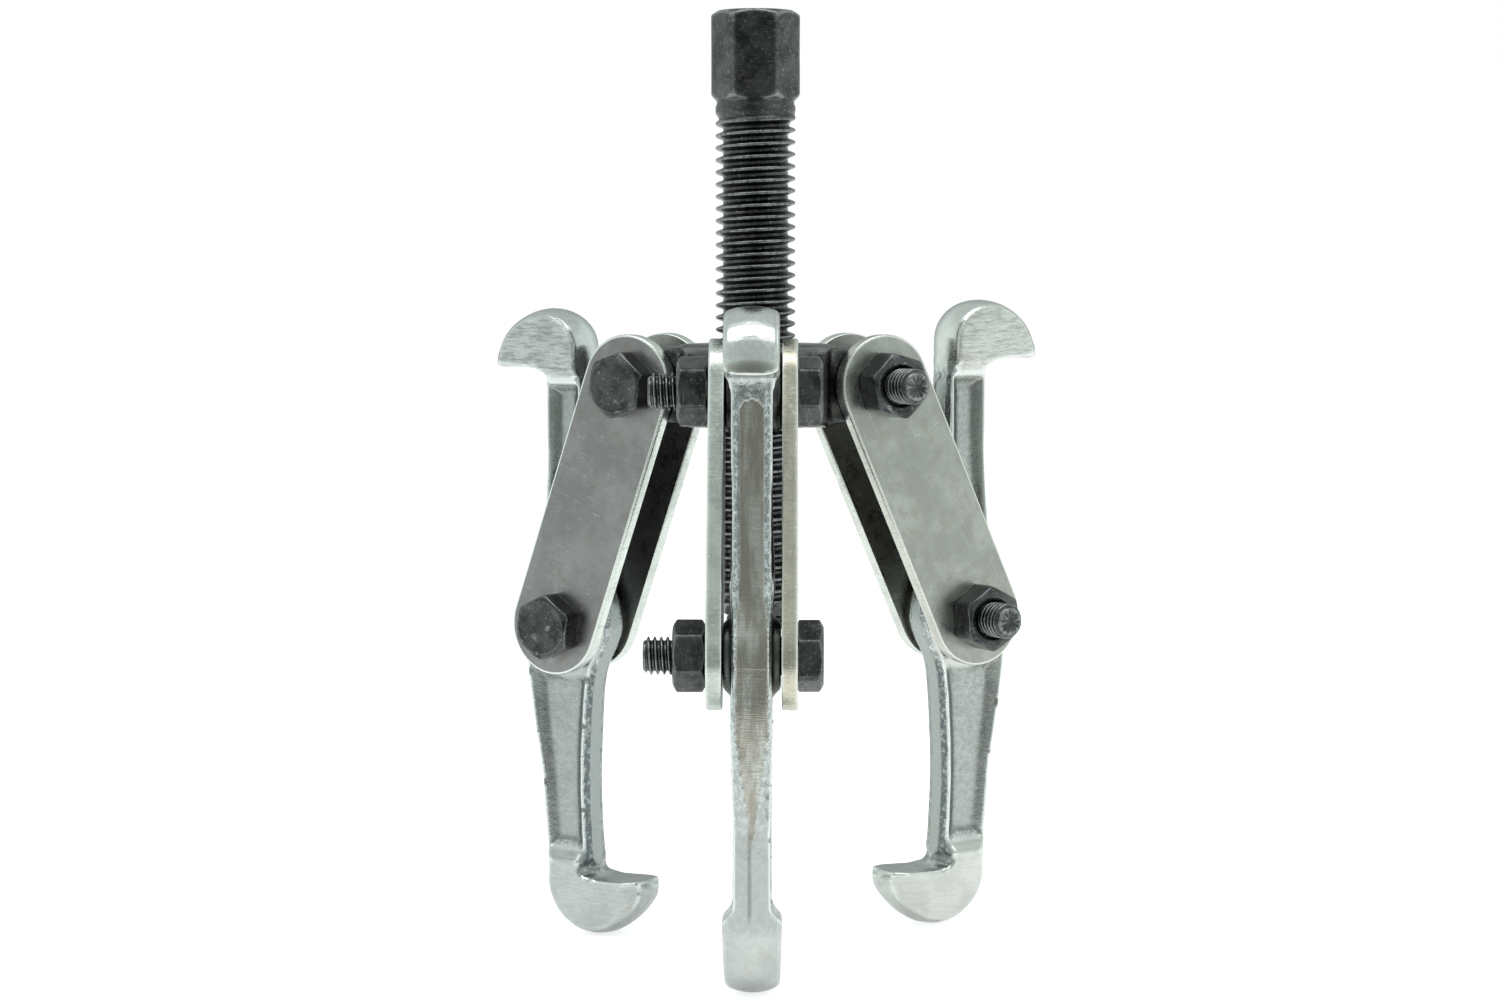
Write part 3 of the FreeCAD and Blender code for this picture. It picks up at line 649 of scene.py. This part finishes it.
class JawShape:
    """The forging as a distance field: an outline in the XZ plane and a half thickness."""

    def __init__(self):
        self.u = np.arange(-17.2, 16.2, JAW_CELL)
        self.w = np.arange(-55.6, 55.8, JAW_CELL)
        u, w = np.meshgrid(self.u, self.w, indexing="ij")
        self.gap = polygon_gap(jaw_outline(), u, w)
        slope = np.gradient(self.gap, JAW_CELL)[1]
        toward_seat = np.where(w > 0, -slope, slope) * step(38, 42, np.abs(w))
        leans = 1 - step(0.45, 0.9, toward_seat)
        leans = np.where(w > 43, np.maximum(leans, 0.6 * step(8.5, 14, u)), leans)
        self.leans = blurred(leans, 1)
        self.half = blurred(self.thickness(u, w), 2)

    def thickness(self, u, w):
        reach = np.hypot(u, w)
        upper_web = np.array([(-3.0, 11.9), (4.9, 11.9), (3.65, 30), (3.65, 41.6), (-3.0, 41.6)])
        lower_web = np.array([
            (-3.7, -39.7), (4.3, -39.7), (5.0, -32), (5.6, -25), (6.5, -18), (7.1, -12), (7.5, -6.5),
            (-5.0, -6.5), (-4.25, -10), (-3.75, -14), (-3.3, -22), (-3.25, -29), (-3.5, -36),
        ])
        walls = np.minimum(polygon_gap(upper_web, u, w), polygon_gap(lower_web, u, w))
        half = smooth_max(SHAFT_HALF + walls * WALL_RISE, WEB_HALF, 0.7)
        half = smooth_min(half, SHAFT_HALF, 0.25)
        in_eye = step(EYE_RADIUS + 3.0, EYE_RADIUS - 0.6, reach)
        half = half * (1 - in_eye) + EYE_HALF * in_eye
        boss = smooth_min(BOSS_HALF - (reach - 5.2) * 1.15, BOSS_HALF, 0.5)
        half = np.where(reach < 7.4, smooth_max(half, boss, 0.6), half)
        upper_block = SHAFT_HALF + (w - 42.6) * (UPPER_BLOCK_HALF - SHAFT_HALF)
        half = np.where(w > 40, smooth_max(half, np.minimum(upper_block, UPPER_BLOCK_HALF), 0.4), half)
        block = np.array([
            (-2.9, -41.2), (-5.0, -44.6), (-6.2, -44.1), (-7.5, -43), (-20, -43), (-20, -60), (10, -60),
            (10, -41.2),
        ])
        lower_block = LOWER_BLOCK_HALF - np.maximum(polygon_gap(block, u, w), 0) * 0.9
        lower_block = lower_block - np.maximum(-43 - w, 0) * 0.042
        toward_nose = -(u + 12.1) * 0.913 - (w + 44) * 0.407
        nose = LOWER_BLOCK_HALF - np.maximum(toward_nose, 0) ** 1.4 * 0.34
        lower_block = smooth_min(lower_block, np.where(w < -42, nose, 99.0), 0.3)
        half = np.where(w < -38, smooth_max(half, lower_block, 0.25), half)
        tip_half = UPPER_BLOCK_HALF - np.maximum(u - 12.2, 0) ** 2 * 0.14
        return np.where((w > 43) & (u > 12), np.minimum(half, tip_half), half)

    def sample(self, field, u, w):
        x = np.clip((u - self.u[0]) / JAW_CELL, 0, len(self.u) - 1.001)
        y = np.clip((w - self.w[0]) / JAW_CELL, 0, len(self.w) - 1.001)
        i, j = np.floor(x).astype(int), np.floor(y).astype(int)
        f, g = x - i, y - j
        return (field[i, j] * (1 - f) * (1 - g) + field[i + 1, j] * f * (1 - g)
                + field[i, j + 1] * (1 - f) * g + field[i + 1, j + 1] * f * g)

    @staticmethod
    def strip_half(u, w):
        """Half the width of the ground flash strip, on the outer and the inner edge."""
        wide = 1.95 + 0.55 * step(13, 3, w) - 0.135 * np.maximum(-11.0 - w, 0)
        outer = np.maximum(wide, 0) * np.sqrt(1 - np.clip((w - 38.1) / 1.9, 0, 1) ** 2)
        inner = 1.55 * step(41.5, 39.5, w) * step(-42.5, -40.5, w)
        return np.where(u > 0, outer, inner)

    def solid(self, gap, half, leans, u, y, w):
        side = np.abs(y)
        strip = np.maximum(self.strip_half(u, w), 1.9 * step(36.5, 38.5, w))
        hook = step(41.5, 45.5, np.abs(w))
        raw = step(-24, -32, w) * (u > 0)
        flank = FLANK_LEAN * np.maximum(side - strip, 0) * (1 - raw) + 0.095 * side**2 * raw
        barrel = np.where(w > 0, 0.95 * (side / 4.3) ** 2, 1.3 * (side / 4.7) ** 2)
        lean = (flank * (1 - hook) + barrel * hook) * leans
        forging = smooth_max(gap + lean, side - half, 0.75)
        return smooth_max(forging, HOLE_RADIUS - np.hypot(u, w), 0.3)

    def field(self, u, y, w):
        gap, half, leans = (self.sample(field, u, w) for field in (self.gap, self.half, self.leans))
        return self.solid(gap, half, leans, u, y, w)

    def mesh(self):
        y = np.arange(-5.4, 5.5, JAW_CELL)
        y = y - (y[0] + y[-1]) / 2 + JAW_CELL * 0.31
        gap, half, leans = (field[:, None, :] for field in (self.gap, self.half, self.leans))
        volume = self.solid(gap, half, leans, self.u[:, None, None], y[None, :, None], self.w[None, None, :])
        vertices, quads = surface_net(volume, (self.u, y, self.w))
        return settle(self.field, vertices), quads


def make_jaws(looks):
    """One mesh with its own lumps and pits for each arm. The masks, from 0 to 1: strip and
    flank (the ground flash and the rough skin beside it), side, hollow and wall (the web
    and its walls, both painted darker as shade), smooth (the hooks' backs), outer (the strip's
    outward half), line (the parting line), lip (stained), dim (painted shade on the flanks),
    pale (painted highlight on the upper hooks' rims, the ramp above the lower block and the
    bevel up to the upper block) and foot (the raw lower edge)."""
    shape = JawShape()
    base, quads = shape.mesh()
    normals = quad_normals(base, quads)
    u, y, w = base.T
    reach = np.hypot(u, w)
    edge = step(0.75, 0.45, np.abs(normals[:, 1]))
    hook = step(41.0, 44.0, np.abs(w))
    outer = (u > 0) * edge
    raw = outer * step(-19, -31, w) * (1 - hook)
    strip_half = shape.strip_half(u, w)
    strip = edge * step(strip_half + 0.10, strip_half - 0.10, np.abs(y)) * (1 - hook)
    strip *= step(0.1, 0.4, strip_half)
    flank = edge * (1 - strip) * (1 - 0.85 * hook) * (1 - 0.8 * raw) * (1 - 0.5 * outer * step(-5, -13, w))
    half = shape.sample(shape.half, u, w)
    hollow = step(2.9, 2.3, half) * step(6.0, 8.0, reach) * (1 - edge)
    # wall: the web's walls, painted darker as shade in the material; ramp is the slope above the lower block,
    # which gets a painted highlight.
    wall = step(1.65, 2.0, half) * step(3.5, 3.2, half) * (1 - edge)
    ramp = wall * step(-37.6, -38.6, w) * step(-41.6, -41.2, w)
    wall *= step(-37.6, -36.6, w) * step(39.5, 38.5, w) * step(11.0, 13.5, np.abs(w))
    lip = (u > 10) * edge * step(46.6, 45.2, w) * step(43.9, 44.5, w)
    side = step(0.55, 0.93, np.abs(normals[:, 1])) * (1 - hollow)
    bevel = step(41.2, 41.7, w) * step(43.2, 42.7, w) * (1 - edge)
    scraped = side * (0.30 + 0.70 * step(38, 42, w)) * (1 - bevel)
    bore = step(3.5, 3.2, reach)
    parting = np.exp(-((y + 0.35) / 0.2) ** 2) * outer * (1 - strip)
    parting *= step(-23, -27, w) * step(-41.5, -39.5, w)
    # Painted shade: the inner flank below the eye, and lightly the outer flank above it.
    dim = flank * (u < 0) * step(-6, -9, w) * 0.95 + flank * (u > 0) * step(10, 22, w) * 0.25
    # pale marks where a painted highlight goes: upper hooks' rims, the ramp above the lower block, the bevel
    # up to the upper block.
    pale = np.maximum(edge * hook * (w > 0) * 0.4, np.maximum(ramp, bevel))
    for number, (arm, ledge) in enumerate(zip(ARMS, (-1.1, -2.6, 0.8))):
        lumps = noise(base, 4.5, 100 + number) * 0.05 + noise(base, 2.0, 110 + number) * 0.025
        rough = noise(base, 0.9, 120 + number)
        pits = np.minimum(rough + 0.3, 0) * 0.17
        scallops = np.minimum(noise(base, (1.5, 1.2, 1.1), 140 + number), 0) * 0.30
        scallops *= outer * np.exp(-((y - 2.5) / 0.8) ** 2) * step(-8, -12, w) * step(-27, -22, w)
        move = lumps * (1 - 0.75 * strip) * (1 - 0.6 * side)
        move += (pits + rough * 0.02) * flank * (1 - 0.6 * outer * step(-4, -12, w)) + scallops
        move += noise(base, 1.6, 130 + number) * 0.03 * hollow
        move += (noise(base, 1.3, 150 + number) * 0.10 - 0.05) * outer * step(38.5, 40, w) * step(43, 41.5, w)
        move -= parting * 0.04 + strip * 0.05 + outer * strip * step(ledge + 0.1, ledge - 0.15, w) * 0.09
        move *= 1 - bore
        grown = base + normals * (np.minimum(move, 0.04) - 0.02)[:, None]
        _, jaw = arm_frames(arm)
        line = np.maximum(parting, 0.8 * outer * strip * np.exp(-((w - ledge) / 0.2) ** 2))
        make_piece(
            f"jaw_{arm}_forged", grown, quads, jaw, f"jaw_{arm}", [f"jaw_{arm}"], [looks[arm]],
            masks={"strip": strip, "flank": flank, "side": scraped, "hollow": hollow, "smooth": edge * hook,
                   "outer": strip * (u > 0), "line": line, "wall": wall, "lip": lip, "dim": dim,
                   "pale": pale, "foot": raw},
        )


# ------------ yoke

YOKE_CELL = 0.36
YOKE_HEIGHT = 45.0
YOKE_HALF = 6.45
YOKE_BORE = 6.76
HUB_RADIUS = 12.15
LUG_REACH = 21.2
LUG_HALF = 4.48


def yoke_field(x, y, z):
    radius = np.hypot(x, y)
    made = smooth_max(radius - HUB_RADIUS, np.abs(z) - YOKE_HALF, 1.0)
    holes = YOKE_BORE - radius
    for azimuth in (30.0, 150.0, 270.0):
        c, s = math.cos(math.radians(azimuth)), math.sin(math.radians(azimuth))
        u, v = x * c + y * s, y * c - x * s
        end = np.where(u > LUG_REACH, np.hypot(u - LUG_REACH, z), np.abs(z)) - YOKE_HALF
        lug = smooth_max(smooth_max(end, np.abs(v) - LUG_HALF, 0.9), 6 - u, 0.1)
        made = smooth_min(made, lug, 2.2)
        pin = HOLE_RADIUS - np.hypot(u - LUG_REACH, z)
        holes = np.maximum(holes, np.where(u > 8, pin, -9.0))
    return smooth_max(made, holes, 0.45)


def make_yoke(look):
    flat = np.arange(-28.4, 28.6, YOKE_CELL)
    high = np.arange(-7.4, 7.6, YOKE_CELL)
    volume = yoke_field(flat[:, None, None], flat[None, :, None], high[None, None, :])
    vertices, quads = surface_net(volume, (flat, flat, high))
    vertices = settle(yoke_field, vertices)
    normals = quad_normals(vertices, quads)
    move = noise(vertices, 3.5, 200) * 0.05 + noise(vertices, 1.2, 201) * 0.02
    keep = step(7.6, 8.2, np.hypot(vertices[:, 0], vertices[:, 1]))
    vertices = vertices + normals * ((np.minimum(move, 0.03) - 0.02) * keep)[:, None]
    make_piece("yoke_forged", vertices, quads, shifted(z=YOKE_HEIGHT), "yoke", ["yoke"],
               [look])


# ------------ screw and centre point


def hex_radius(flats, sharp, first_face):
    """Radius of a hexagon with rounded corners; a higher `sharp` rounds them less."""

    def radius(angle):
        faces = np.radians(first_face + 60 * np.arange(6))
        cosines = np.maximum(np.cos(angle[:, None] - faces), 0)
        return flats / 2 / (cosines**sharp).sum(1) ** (1 / sharp)

    return radius


HEAD_LOW = 92.3
HEAD_TOP = 107.0
SPIGOT_BORE = 2.55
SPIGOT_END = 16.2
CHAMFER_RISE = 1.732  # of the 30 degree chamfers on the hexagons, mm per mm


def make_screw(look):
    columns = 96
    crest, root, pitch = 6.62, 5.36, 2.0
    low, high = 8.4, 90.9
    thread = thread_mesh(
        crest, crest - root, pitch, low, high, columns,
        limit=lambda z: root + np.maximum(z - low, 0),
        fade=lambda z: step(high - 0.1, high - 3.6, z),
        phase=0.5,
    )
    spigot_hole = [(SPIGOT_BORE, SPIGOT_END), (SPIGOT_BORE, 6.85)]
    plain = turned_rings([*spigot_hole, (5.0, 6.8), (5.28, 6.95), (root, 7.2), (root, low)], columns)
    hexagon = hex_radius(12.98, 32.0, 30.0)

    def head(angle, height):
        crown = 6.1 + (HEAD_TOP - height) * CHAMFER_RISE
        foot = 6.6 + (height - HEAD_LOW) * 0.95
        return smooth_min(smooth_min(hexagon(angle), crown, 0.35), foot, 0.35)

    heights = [HEAD_LOW + z for z in (0.0, 0.1, 0.2, 0.32, 0.45, 0.6, 0.75, 0.9, 1.1, 1.4, 2.2, 3.5)]
    heights += [97, 99, 101, 103, 104.6, 105.6, 106.0, 106.2, 106.35, 106.5, 106.65, 106.78, 106.88, 106.96]
    profile = [(crest, high), (6.6, 91.3), (6.42, 91.6), (6.4, 92.0), (6.5, 92.2)]
    profile += [(None, z) for z in heights]
    profile += [(5.9, 106.99), (5.2, HEAD_TOP), (3.5, 106.96), (1.5, 106.93), (0.0, 106.93)]
    top = turned_rings(profile, columns, head)
    cap = turned_rings([(SPIGOT_BORE, SPIGOT_END), (0.0, SPIGOT_END)], columns)
    vertices, faces = joined(
        thread,
        (plain, rings_to_quads(6, columns)),
        (cap, rings_to_quads(2, columns)),
        (top, rings_to_quads(len(profile), columns)),
    )
    wobble = noise(vertices, 5.0, 300) * 0.03
    solid = step(92.4, 95.0, vertices[:, 2]) * step(HEAD_TOP, 105.8, vertices[:, 2])
    vertices[:, :2] *= 1 + (np.minimum(wobble, 0.0) * solid / 7.0)[:, None]
    piece = make_piece("forcing_screw_threaded", vertices, faces, np.eye(4), "screw", ["forcing_screw"],
                       [look], tidy=True)
    # The head's edges count 2.5 times as bent, so its painted edge highlight and wear show stronger.
    bend = np.zeros(len(vertices))
    values = piece.data.attributes["bend"].data
    values.foreach_get("value", bend)
    bend[vertices[:, 2] > HEAD_LOW] *= 2.5
    values.foreach_set("value", bend)


def make_centre_point(look):
    cone = [(0.0, 0.0), (0.25, 0.12), (0.6, 0.5), (1.6, 1.5), (3.0, 2.9), (4.4, 4.3), (4.8, 4.75)]
    collar = [(4.88, 5.1), (4.88, 6.2), (4.75, 6.5), (4.5, 6.68)]
    spigot = [(2.6, 6.7), (2.48, 6.9), (2.48, 15.3), (2.1, 15.68), (0.0, 15.7)]
    profile = cone + collar + spigot
    columns = 72
    vertices, faces = joined((turned_rings(profile, columns), rings_to_quads(len(profile), columns)))
    make_piece("centre_point_turned", vertices, faces, np.eye(4), "centre_point", ["screw_centre_point"],
               [look], tidy=True)


# ------------ bolts and nuts

HEX_FLATS = 9.96
HEX_TURNS = {  # upper head, upper nut, lower head, lower nut
    "front": (14.0, 14.0, 4.0, 15.0),
    "left": (22.0, 9.0, 17.0, 26.0),
    "right": (6.0, 20.0, 12.0, 8.0),
}
PLATES_OUTSIDE = 7.1
TO_BOLT = turned_about("X", 90)


def bolt_mesh():
    """Hex bolt along +Z with the bearing face of its head at the origin."""
    columns = 72
    crest, root, pitch = 2.99, 2.40, 1.0
    start, reach = 5.0, 24.0
    hexagon = hex_radius(HEX_FLATS, 46.0, 30.0)

    def head(angle, height):
        crown = 4.55 + (height + 4.0) * CHAMFER_RISE
        return smooth_min(smooth_min(hexagon(angle), crown, 0.22), 5.2 - height * 3.0, 0.2)

    profile = [(0.0, -3.86), (2.4, -3.86), (3.5, -3.87), (4.0, -3.93), (4.3, -3.985), (4.5, -4.0)]
    profile += [(None, z) for z in (-3.97, -3.92, -3.85, -3.77, -3.68, -3.58, -3.48, -3.38, -3.25, -3.0, -2.2,
                                    -1.0, -0.4, -0.2, -0.1, -0.03)]
    profile += [(4.9, 0.0), (3.2, 0.0), (crest, 0.1), (crest, start)]
    shaft = thread_mesh(
        crest, crest - root, pitch, start, reach, columns,
        limit=lambda z: 2.2 + np.maximum(reach - z, 0),
        fade=lambda z: step(start, start + 1.5, z),
    )
    end = turned_rings([(2.2, reach), (1.6, reach - 0.03), (0.0, reach - 0.05)], columns)
    return joined(
        (turned_rings(profile, columns, head), rings_to_quads(len(profile), columns)),
        shaft,
        (end, rings_to_quads(3, columns)),
    )


def nut_mesh():
    """Hex nut along +Z with its bearing face at the origin."""
    columns = 72
    high = 5.2
    hexagon = hex_radius(HEX_FLATS, 46.0, 30.0)

    def ring(angle, height):
        wanted = hexagon(angle)
        for face in (height, high - height):
            wanted = smooth_min(wanted, 4.6 + face * CHAMFER_RISE, 0.22)
        return wanted

    near = (0.02, 0.07, 0.14, 0.22, 0.31, 0.41, 0.52, 0.64, 0.8, 1.2, 2.0)
    heights = [*near, high / 2, *(high - z for z in reversed(near))]
    profile = [(4.5, 0.0)] + [(None, z) for z in heights]
    profile += [(4.5, high), (3.9, high), (3.62, high - 0.02), (3.5, high - 0.1), (3.04, high - 0.55),
                (3.04, high / 2), (3.04, 0.5), (3.4, 0.1), (3.6, 0.0)]
    rings = turned_rings(profile, columns, ring)
    return weld(rings, rings_to_quads(len(profile), columns, wrap=True))


def make_fasteners(looks):
    bolt, nut = bolt_mesh(), nut_mesh()
    rng = np.random.default_rng(7)
    for arm in ARMS:
        link, jaw = arm_frames(arm)
        length = np.linalg.norm(link[:3, 3] - jaw[:3, 3])
        upper_head, upper_nut, lower_head, lower_nut = HEX_TURNS[arm]
        for level, height, head_turn, nut_turn in (
            ("upper", 0.0, upper_head, upper_nut),
            ("lower", -length, lower_head, lower_nut),
        ):
            for kind, mesh, side, turn in (("bolt", bolt, 1, head_turn), ("nut", nut, -1, nut_turn)):
                matrix = link @ shifted(y=side * PLATES_OUTSIDE, z=height) @ TO_BOLT @ turned_about("Z", turn)
                node = f"{level}_{kind}_{arm}"
                vertices = mesh[0].copy()
                name = f"{node}_{'threaded' if kind == 'bolt' else 'chamfered'}"
                piece = make_piece(name, vertices, mesh[1], matrix, f"link_{arm}", [node],
                                   [looks[int(rng.integers(len(looks)))]], tidy=True)
                moved = vertices + rng.uniform(-40, 40, 3)
                piece.data.attributes["local"].data.foreach_set("vector", moved.astype(np.float32).ravel())


# ------------ link plates

PLATE_RADIUS = 8.48
PLATE_MIDDLE = 5.85
PLATE_RING = [  # inset from the outline and level across the thickness
    (0.42, 1.25), (0.30, 1.235), (0.17, 1.17), (0.07, 1.05), (0.01, 0.85), (0.0, 0.5), (0.02, -0.2),
    (0.05, -0.9), (0.07, -1.1), (0.12, -1.2), (0.22, -1.25),
]


def plate_mesh(length, rolled_up):
    """A punched link: round ends, two holes, one face rolled over and the other burred.
    The rolled face looks along +Y when `rolled_up` is 1 and along -Y when it is -1."""
    half_circle = 32
    angle = np.radians(np.linspace(0, 180, half_circle + 1))

    def outline(inset):
        r = PLATE_RADIUS - inset
        upper = np.column_stack([r * np.cos(angle), r * np.sin(angle)])
        lower = np.column_stack([-r * np.cos(angle), -length - r * np.sin(angle)])
        return np.vstack([upper, lower])

    def hole(height, grow):
        turn = np.radians(np.arange(0, 360, 7.5))
        r = HOLE_RADIUS + grow
        return np.column_stack([r * np.cos(turn), height + r * np.sin(turn)])

    vertices, faces, kinds = [], [], []
    loops = []
    for maker, share in (
        (outline, 1.0), (lambda inset: hole(0.0, inset), 0.6), (lambda inset: hole(-length, inset), 0.6),
    ):
        first = sum(len(v) for v in vertices)
        for inset, level in PLATE_RING:
            ring = maker(inset * share)
            vertices.append(np.column_stack([ring[:, 0], np.full(len(ring), level * rolled_up), ring[:, 1]]))
        columns = len(ring)
        quads = rings_to_quads(len(PLATE_RING), columns, first)
        faces.extend(quads)
        kinds.extend([1] * len(quads))
        loops.append((first, columns, first + (len(PLATE_RING) - 1) * columns))
    (outer_top, n_outer, outer_bottom), (up_top, n_hole, up_bottom), (low_top, _, low_bottom) = loops
    top_middle, bottom_middle = half_circle // 2, half_circle + 1 + half_circle // 2
    quarter = n_hole // 4

    def half_turn(first, start):
        return [first + (start - i) % n_hole for i in range(n_hole // 2 + 1)]

    for outer, up, low in ((outer_top, up_top, low_top), (outer_bottom, up_bottom, low_bottom)):
        right = [outer + i for i in (*range(bottom_middle, n_outer), *range(top_middle + 1))]
        right += half_turn(up, quarter) + half_turn(low, quarter)
        left = [outer + i for i in range(top_middle, bottom_middle + 1)]
        left += half_turn(low, 3 * quarter) + half_turn(up, 3 * quarter)
        faces.extend([right, left])
        kinds.extend([0, 0])
    return np.vstack(vertices), faces, kinds


def make_plates(looks):
    for arm in ARMS:
        link, jaw = arm_frames(arm)
        length = np.linalg.norm(link[:3, 3] - jaw[:3, 3])
        for side, sign in (("head_side", 1), ("nut_side", -1)):
            vertices, faces, kinds = plate_mesh(length, sign)
            node = f"link_plate_{arm}_{side}"
            matrix = link @ shifted(y=sign * PLATE_MIDDLE)
            make_piece(f"{node}_punched", vertices, faces, matrix, f"link_{arm}", [node],
                       looks[arm, side],
                       face_material=kinds, flat_material=0, tidy=True)


# ------------ build the object

# Each arm's tint was set to how bright that jaw looks, so besides the zinc's own tone it holds painted light
# and shade.
make_jaws({
    "front": jaw_look("front", 1.0, (0.60, 0.625, 0.61), 0.8),
    "left": jaw_look("left", 2.0, (0.575, 0.60, 0.595), 1.0),
    "right": jaw_look("right", 3.0, (0.72, 0.735, 0.70), 0.6),
})
make_yoke(oxide_look("yoke_oxide", 1.0, (0.25, 1.2), 0.5, 1.5, 0.2))
make_screw(oxide_look("screw_oxide", 2.0, (0.3, 1.8), 0.5, 0.98, 0.5))
make_centre_point(oxide_look("point_oxide", 3.0, (0.8, 3.0), 0.6))
make_fasteners([oxide_look(f"fastener_oxide_{i}", 4.0 + i, (0.35, 2.0), 0.55, 1.1, 0.55) for i in range(4)])
# Tints set plate by plate to how bright each face and edge looks, so besides the zinc's tone they hold
# painted light and shade.
PLATE_TINTS = {  # face, sheared edge
    ("front", "head_side"): ((0.48, 0.47, 0.43), (0.66, 0.63, 0.52)),
    ("front", "nut_side"): ((0.48, 0.50, 0.48), (0.66, 0.70, 0.665)),
    ("left", "head_side"): ((0.310, 0.308, 0.306), (0.80, 0.85, 0.81)),
    ("left", "nut_side"): ((0.38, 0.385, 0.37), (0.76, 0.80, 0.76)),
    ("right", "head_side"): ((0.42, 0.42, 0.39), (0.76, 0.79, 0.74)),
    ("right", "nut_side"): ((0.46, 0.475, 0.445), (0.66, 0.66, 0.60)),
}
make_plates({
    key: [plate_face_look("_".join(key), i, face), plate_edge_look("_".join(key), i, edge)]
    for i, (key, (face, edge)) in enumerate(PLATE_TINTS.items())
})

# ------------ stage


def make_floor():
    """A pale sheet through the three points where the lower hooks stand."""
    feet = []
    for arm in ARMS:
        mesh = bpy.data.objects[f"jaw_{arm}_forged"].data
        co = np.zeros(len(mesh.vertices) * 3)
        mesh.vertices.foreach_get("co", co)
        co = co.reshape(-1, 3)
        feet.append(co[co[:, 2].argmin()])
    normal = unit(np.cross(feet[1] - feet[0], feet[2] - feet[0]))
    normal = normal if normal[2] > 0 else -normal
    middle = np.mean(feet, axis=0) - normal * 0.0001
    side = unit(np.cross((0, 1, 0), normal))
    other = np.cross(normal, side)
    other = other if other[1] > 0 else -other
    ends = ((-6.0, -0.17), (6.0, -0.17), (6.0, 6.0), (-6.0, 6.0))
    corners = [middle + side * a + other * b for a, b in ends]
    mesh = bpy.data.meshes.new("floor")
    mesh.from_pydata([tuple(c) for c in corners], [], [(0, 1, 2, 3)])
    material = bpy.data.materials.new("pale_floor")
    material.use_nodes = True
    tree = material.node_tree
    shader = tree.nodes["Principled BSDF"]
    for key, value in (("Base Color", (0.93, 0.93, 0.93)), ("Roughness", 0.9), ("Specular IOR Level", 0.1)):
        connect(tree, value, shader.inputs[key])
    camera_ray = add_node(tree, "ShaderNodeLightPath").outputs["Is Camera Ray"]
    lit = add_math(tree, "ADD", add_math(tree, "MULTIPLY", camera_ray, 0.32), 0.30)
    glow = add_node(tree, "ShaderNodeEmission", {"Color": (1.0, 1.0, 1.0), "Strength": lit})
    both = add_node(tree, "ShaderNodeAddShader", {0: shader.outputs[0], 1: glow.outputs[0]})
    connect(tree, both.outputs[0], tree.nodes["Material Output"].inputs["Surface"])
    mesh.materials.append(material)
    placed("floor", mesh)


WORLD_DIMMING = (  # axis, the stretch of the direction and the light's share at its two ends
    ("Y", -0.985, -0.72, 0.48, 1.0), ("Y", -0.8, 0.2, 0.80, 0.98), ("Y", 0.60, 0.98, 1.0, 0.45),
    ("Z", 0.35, 0.80, 1.0, 0.70), ("Z", -0.50, -0.10, 0.60, 1.0),
)


def make_world():
    """White all round to the camera; the light itself is dimmer from the -Y side."""
    world = bpy.data.worlds.new("studio")
    bpy.context.scene.world = world
    world.use_nodes = True
    tree = world.node_tree
    tree.nodes.clear()
    direction = add_node(tree, "ShaderNodeTexCoord").outputs["Generated"]
    along = add_node(tree, "ShaderNodeSeparateXYZ", {0: direction}).outputs
    strength = 1.0
    for axis, *ends in WORLD_DIMMING:
        strength = add_math(tree, "MULTIPLY", add_ramp(tree, along[axis], *ends), strength)
    light = add_node(tree, "ShaderNodeBackground", {"Color": (0.915, 1.0, 0.965), "Strength": strength})
    white = add_node(tree, "ShaderNodeBackground", {"Color": (1.0, 1.0, 1.0), "Strength": 1.0})
    camera_ray = add_node(tree, "ShaderNodeLightPath").outputs["Is Camera Ray"]
    shaders = {"Fac": camera_ray, 1: light.outputs[0], 2: white.outputs[0]}
    pick = add_node(tree, "ShaderNodeMixShader", shaders)
    add_node(tree, "ShaderNodeOutputWorld", {"Surface": pick.outputs[0]})


def add_light(name, place, target, size, power):
    lamp = bpy.data.lights.new(name, "AREA")
    lamp.shape = "RECTANGLE"
    lamp.size, lamp.size_y = size
    lamp.energy = power
    made = placed(name, lamp)
    made.location = place
    made.rotation_euler = (Vector(target) - Vector(place)).to_track_quat("-Z", "Y").to_euler()
    made.visible_camera = False


def make_camera():
    lens = bpy.data.cameras.new("camera")
    lens.sensor_width = 36.0
    lens.lens = 75.3312
    lens.clip_start, lens.clip_end = 0.01, 20.0
    camera = placed("camera", lens)
    camera.location = (0.00681, -0.52309, 0.06651)
    camera.rotation_euler = (math.radians(90 - 4.434), 0.0, math.radians(0.846))
    bpy.context.scene.camera = camera


make_floor()
make_world()
add_light("top_softbox", (0.0, -0.15, 0.75), (0, 0, 0.02), (1.1, 0.30), 2.2)
make_camera()
bpy.context.scene.view_settings.view_transform = "Standard"
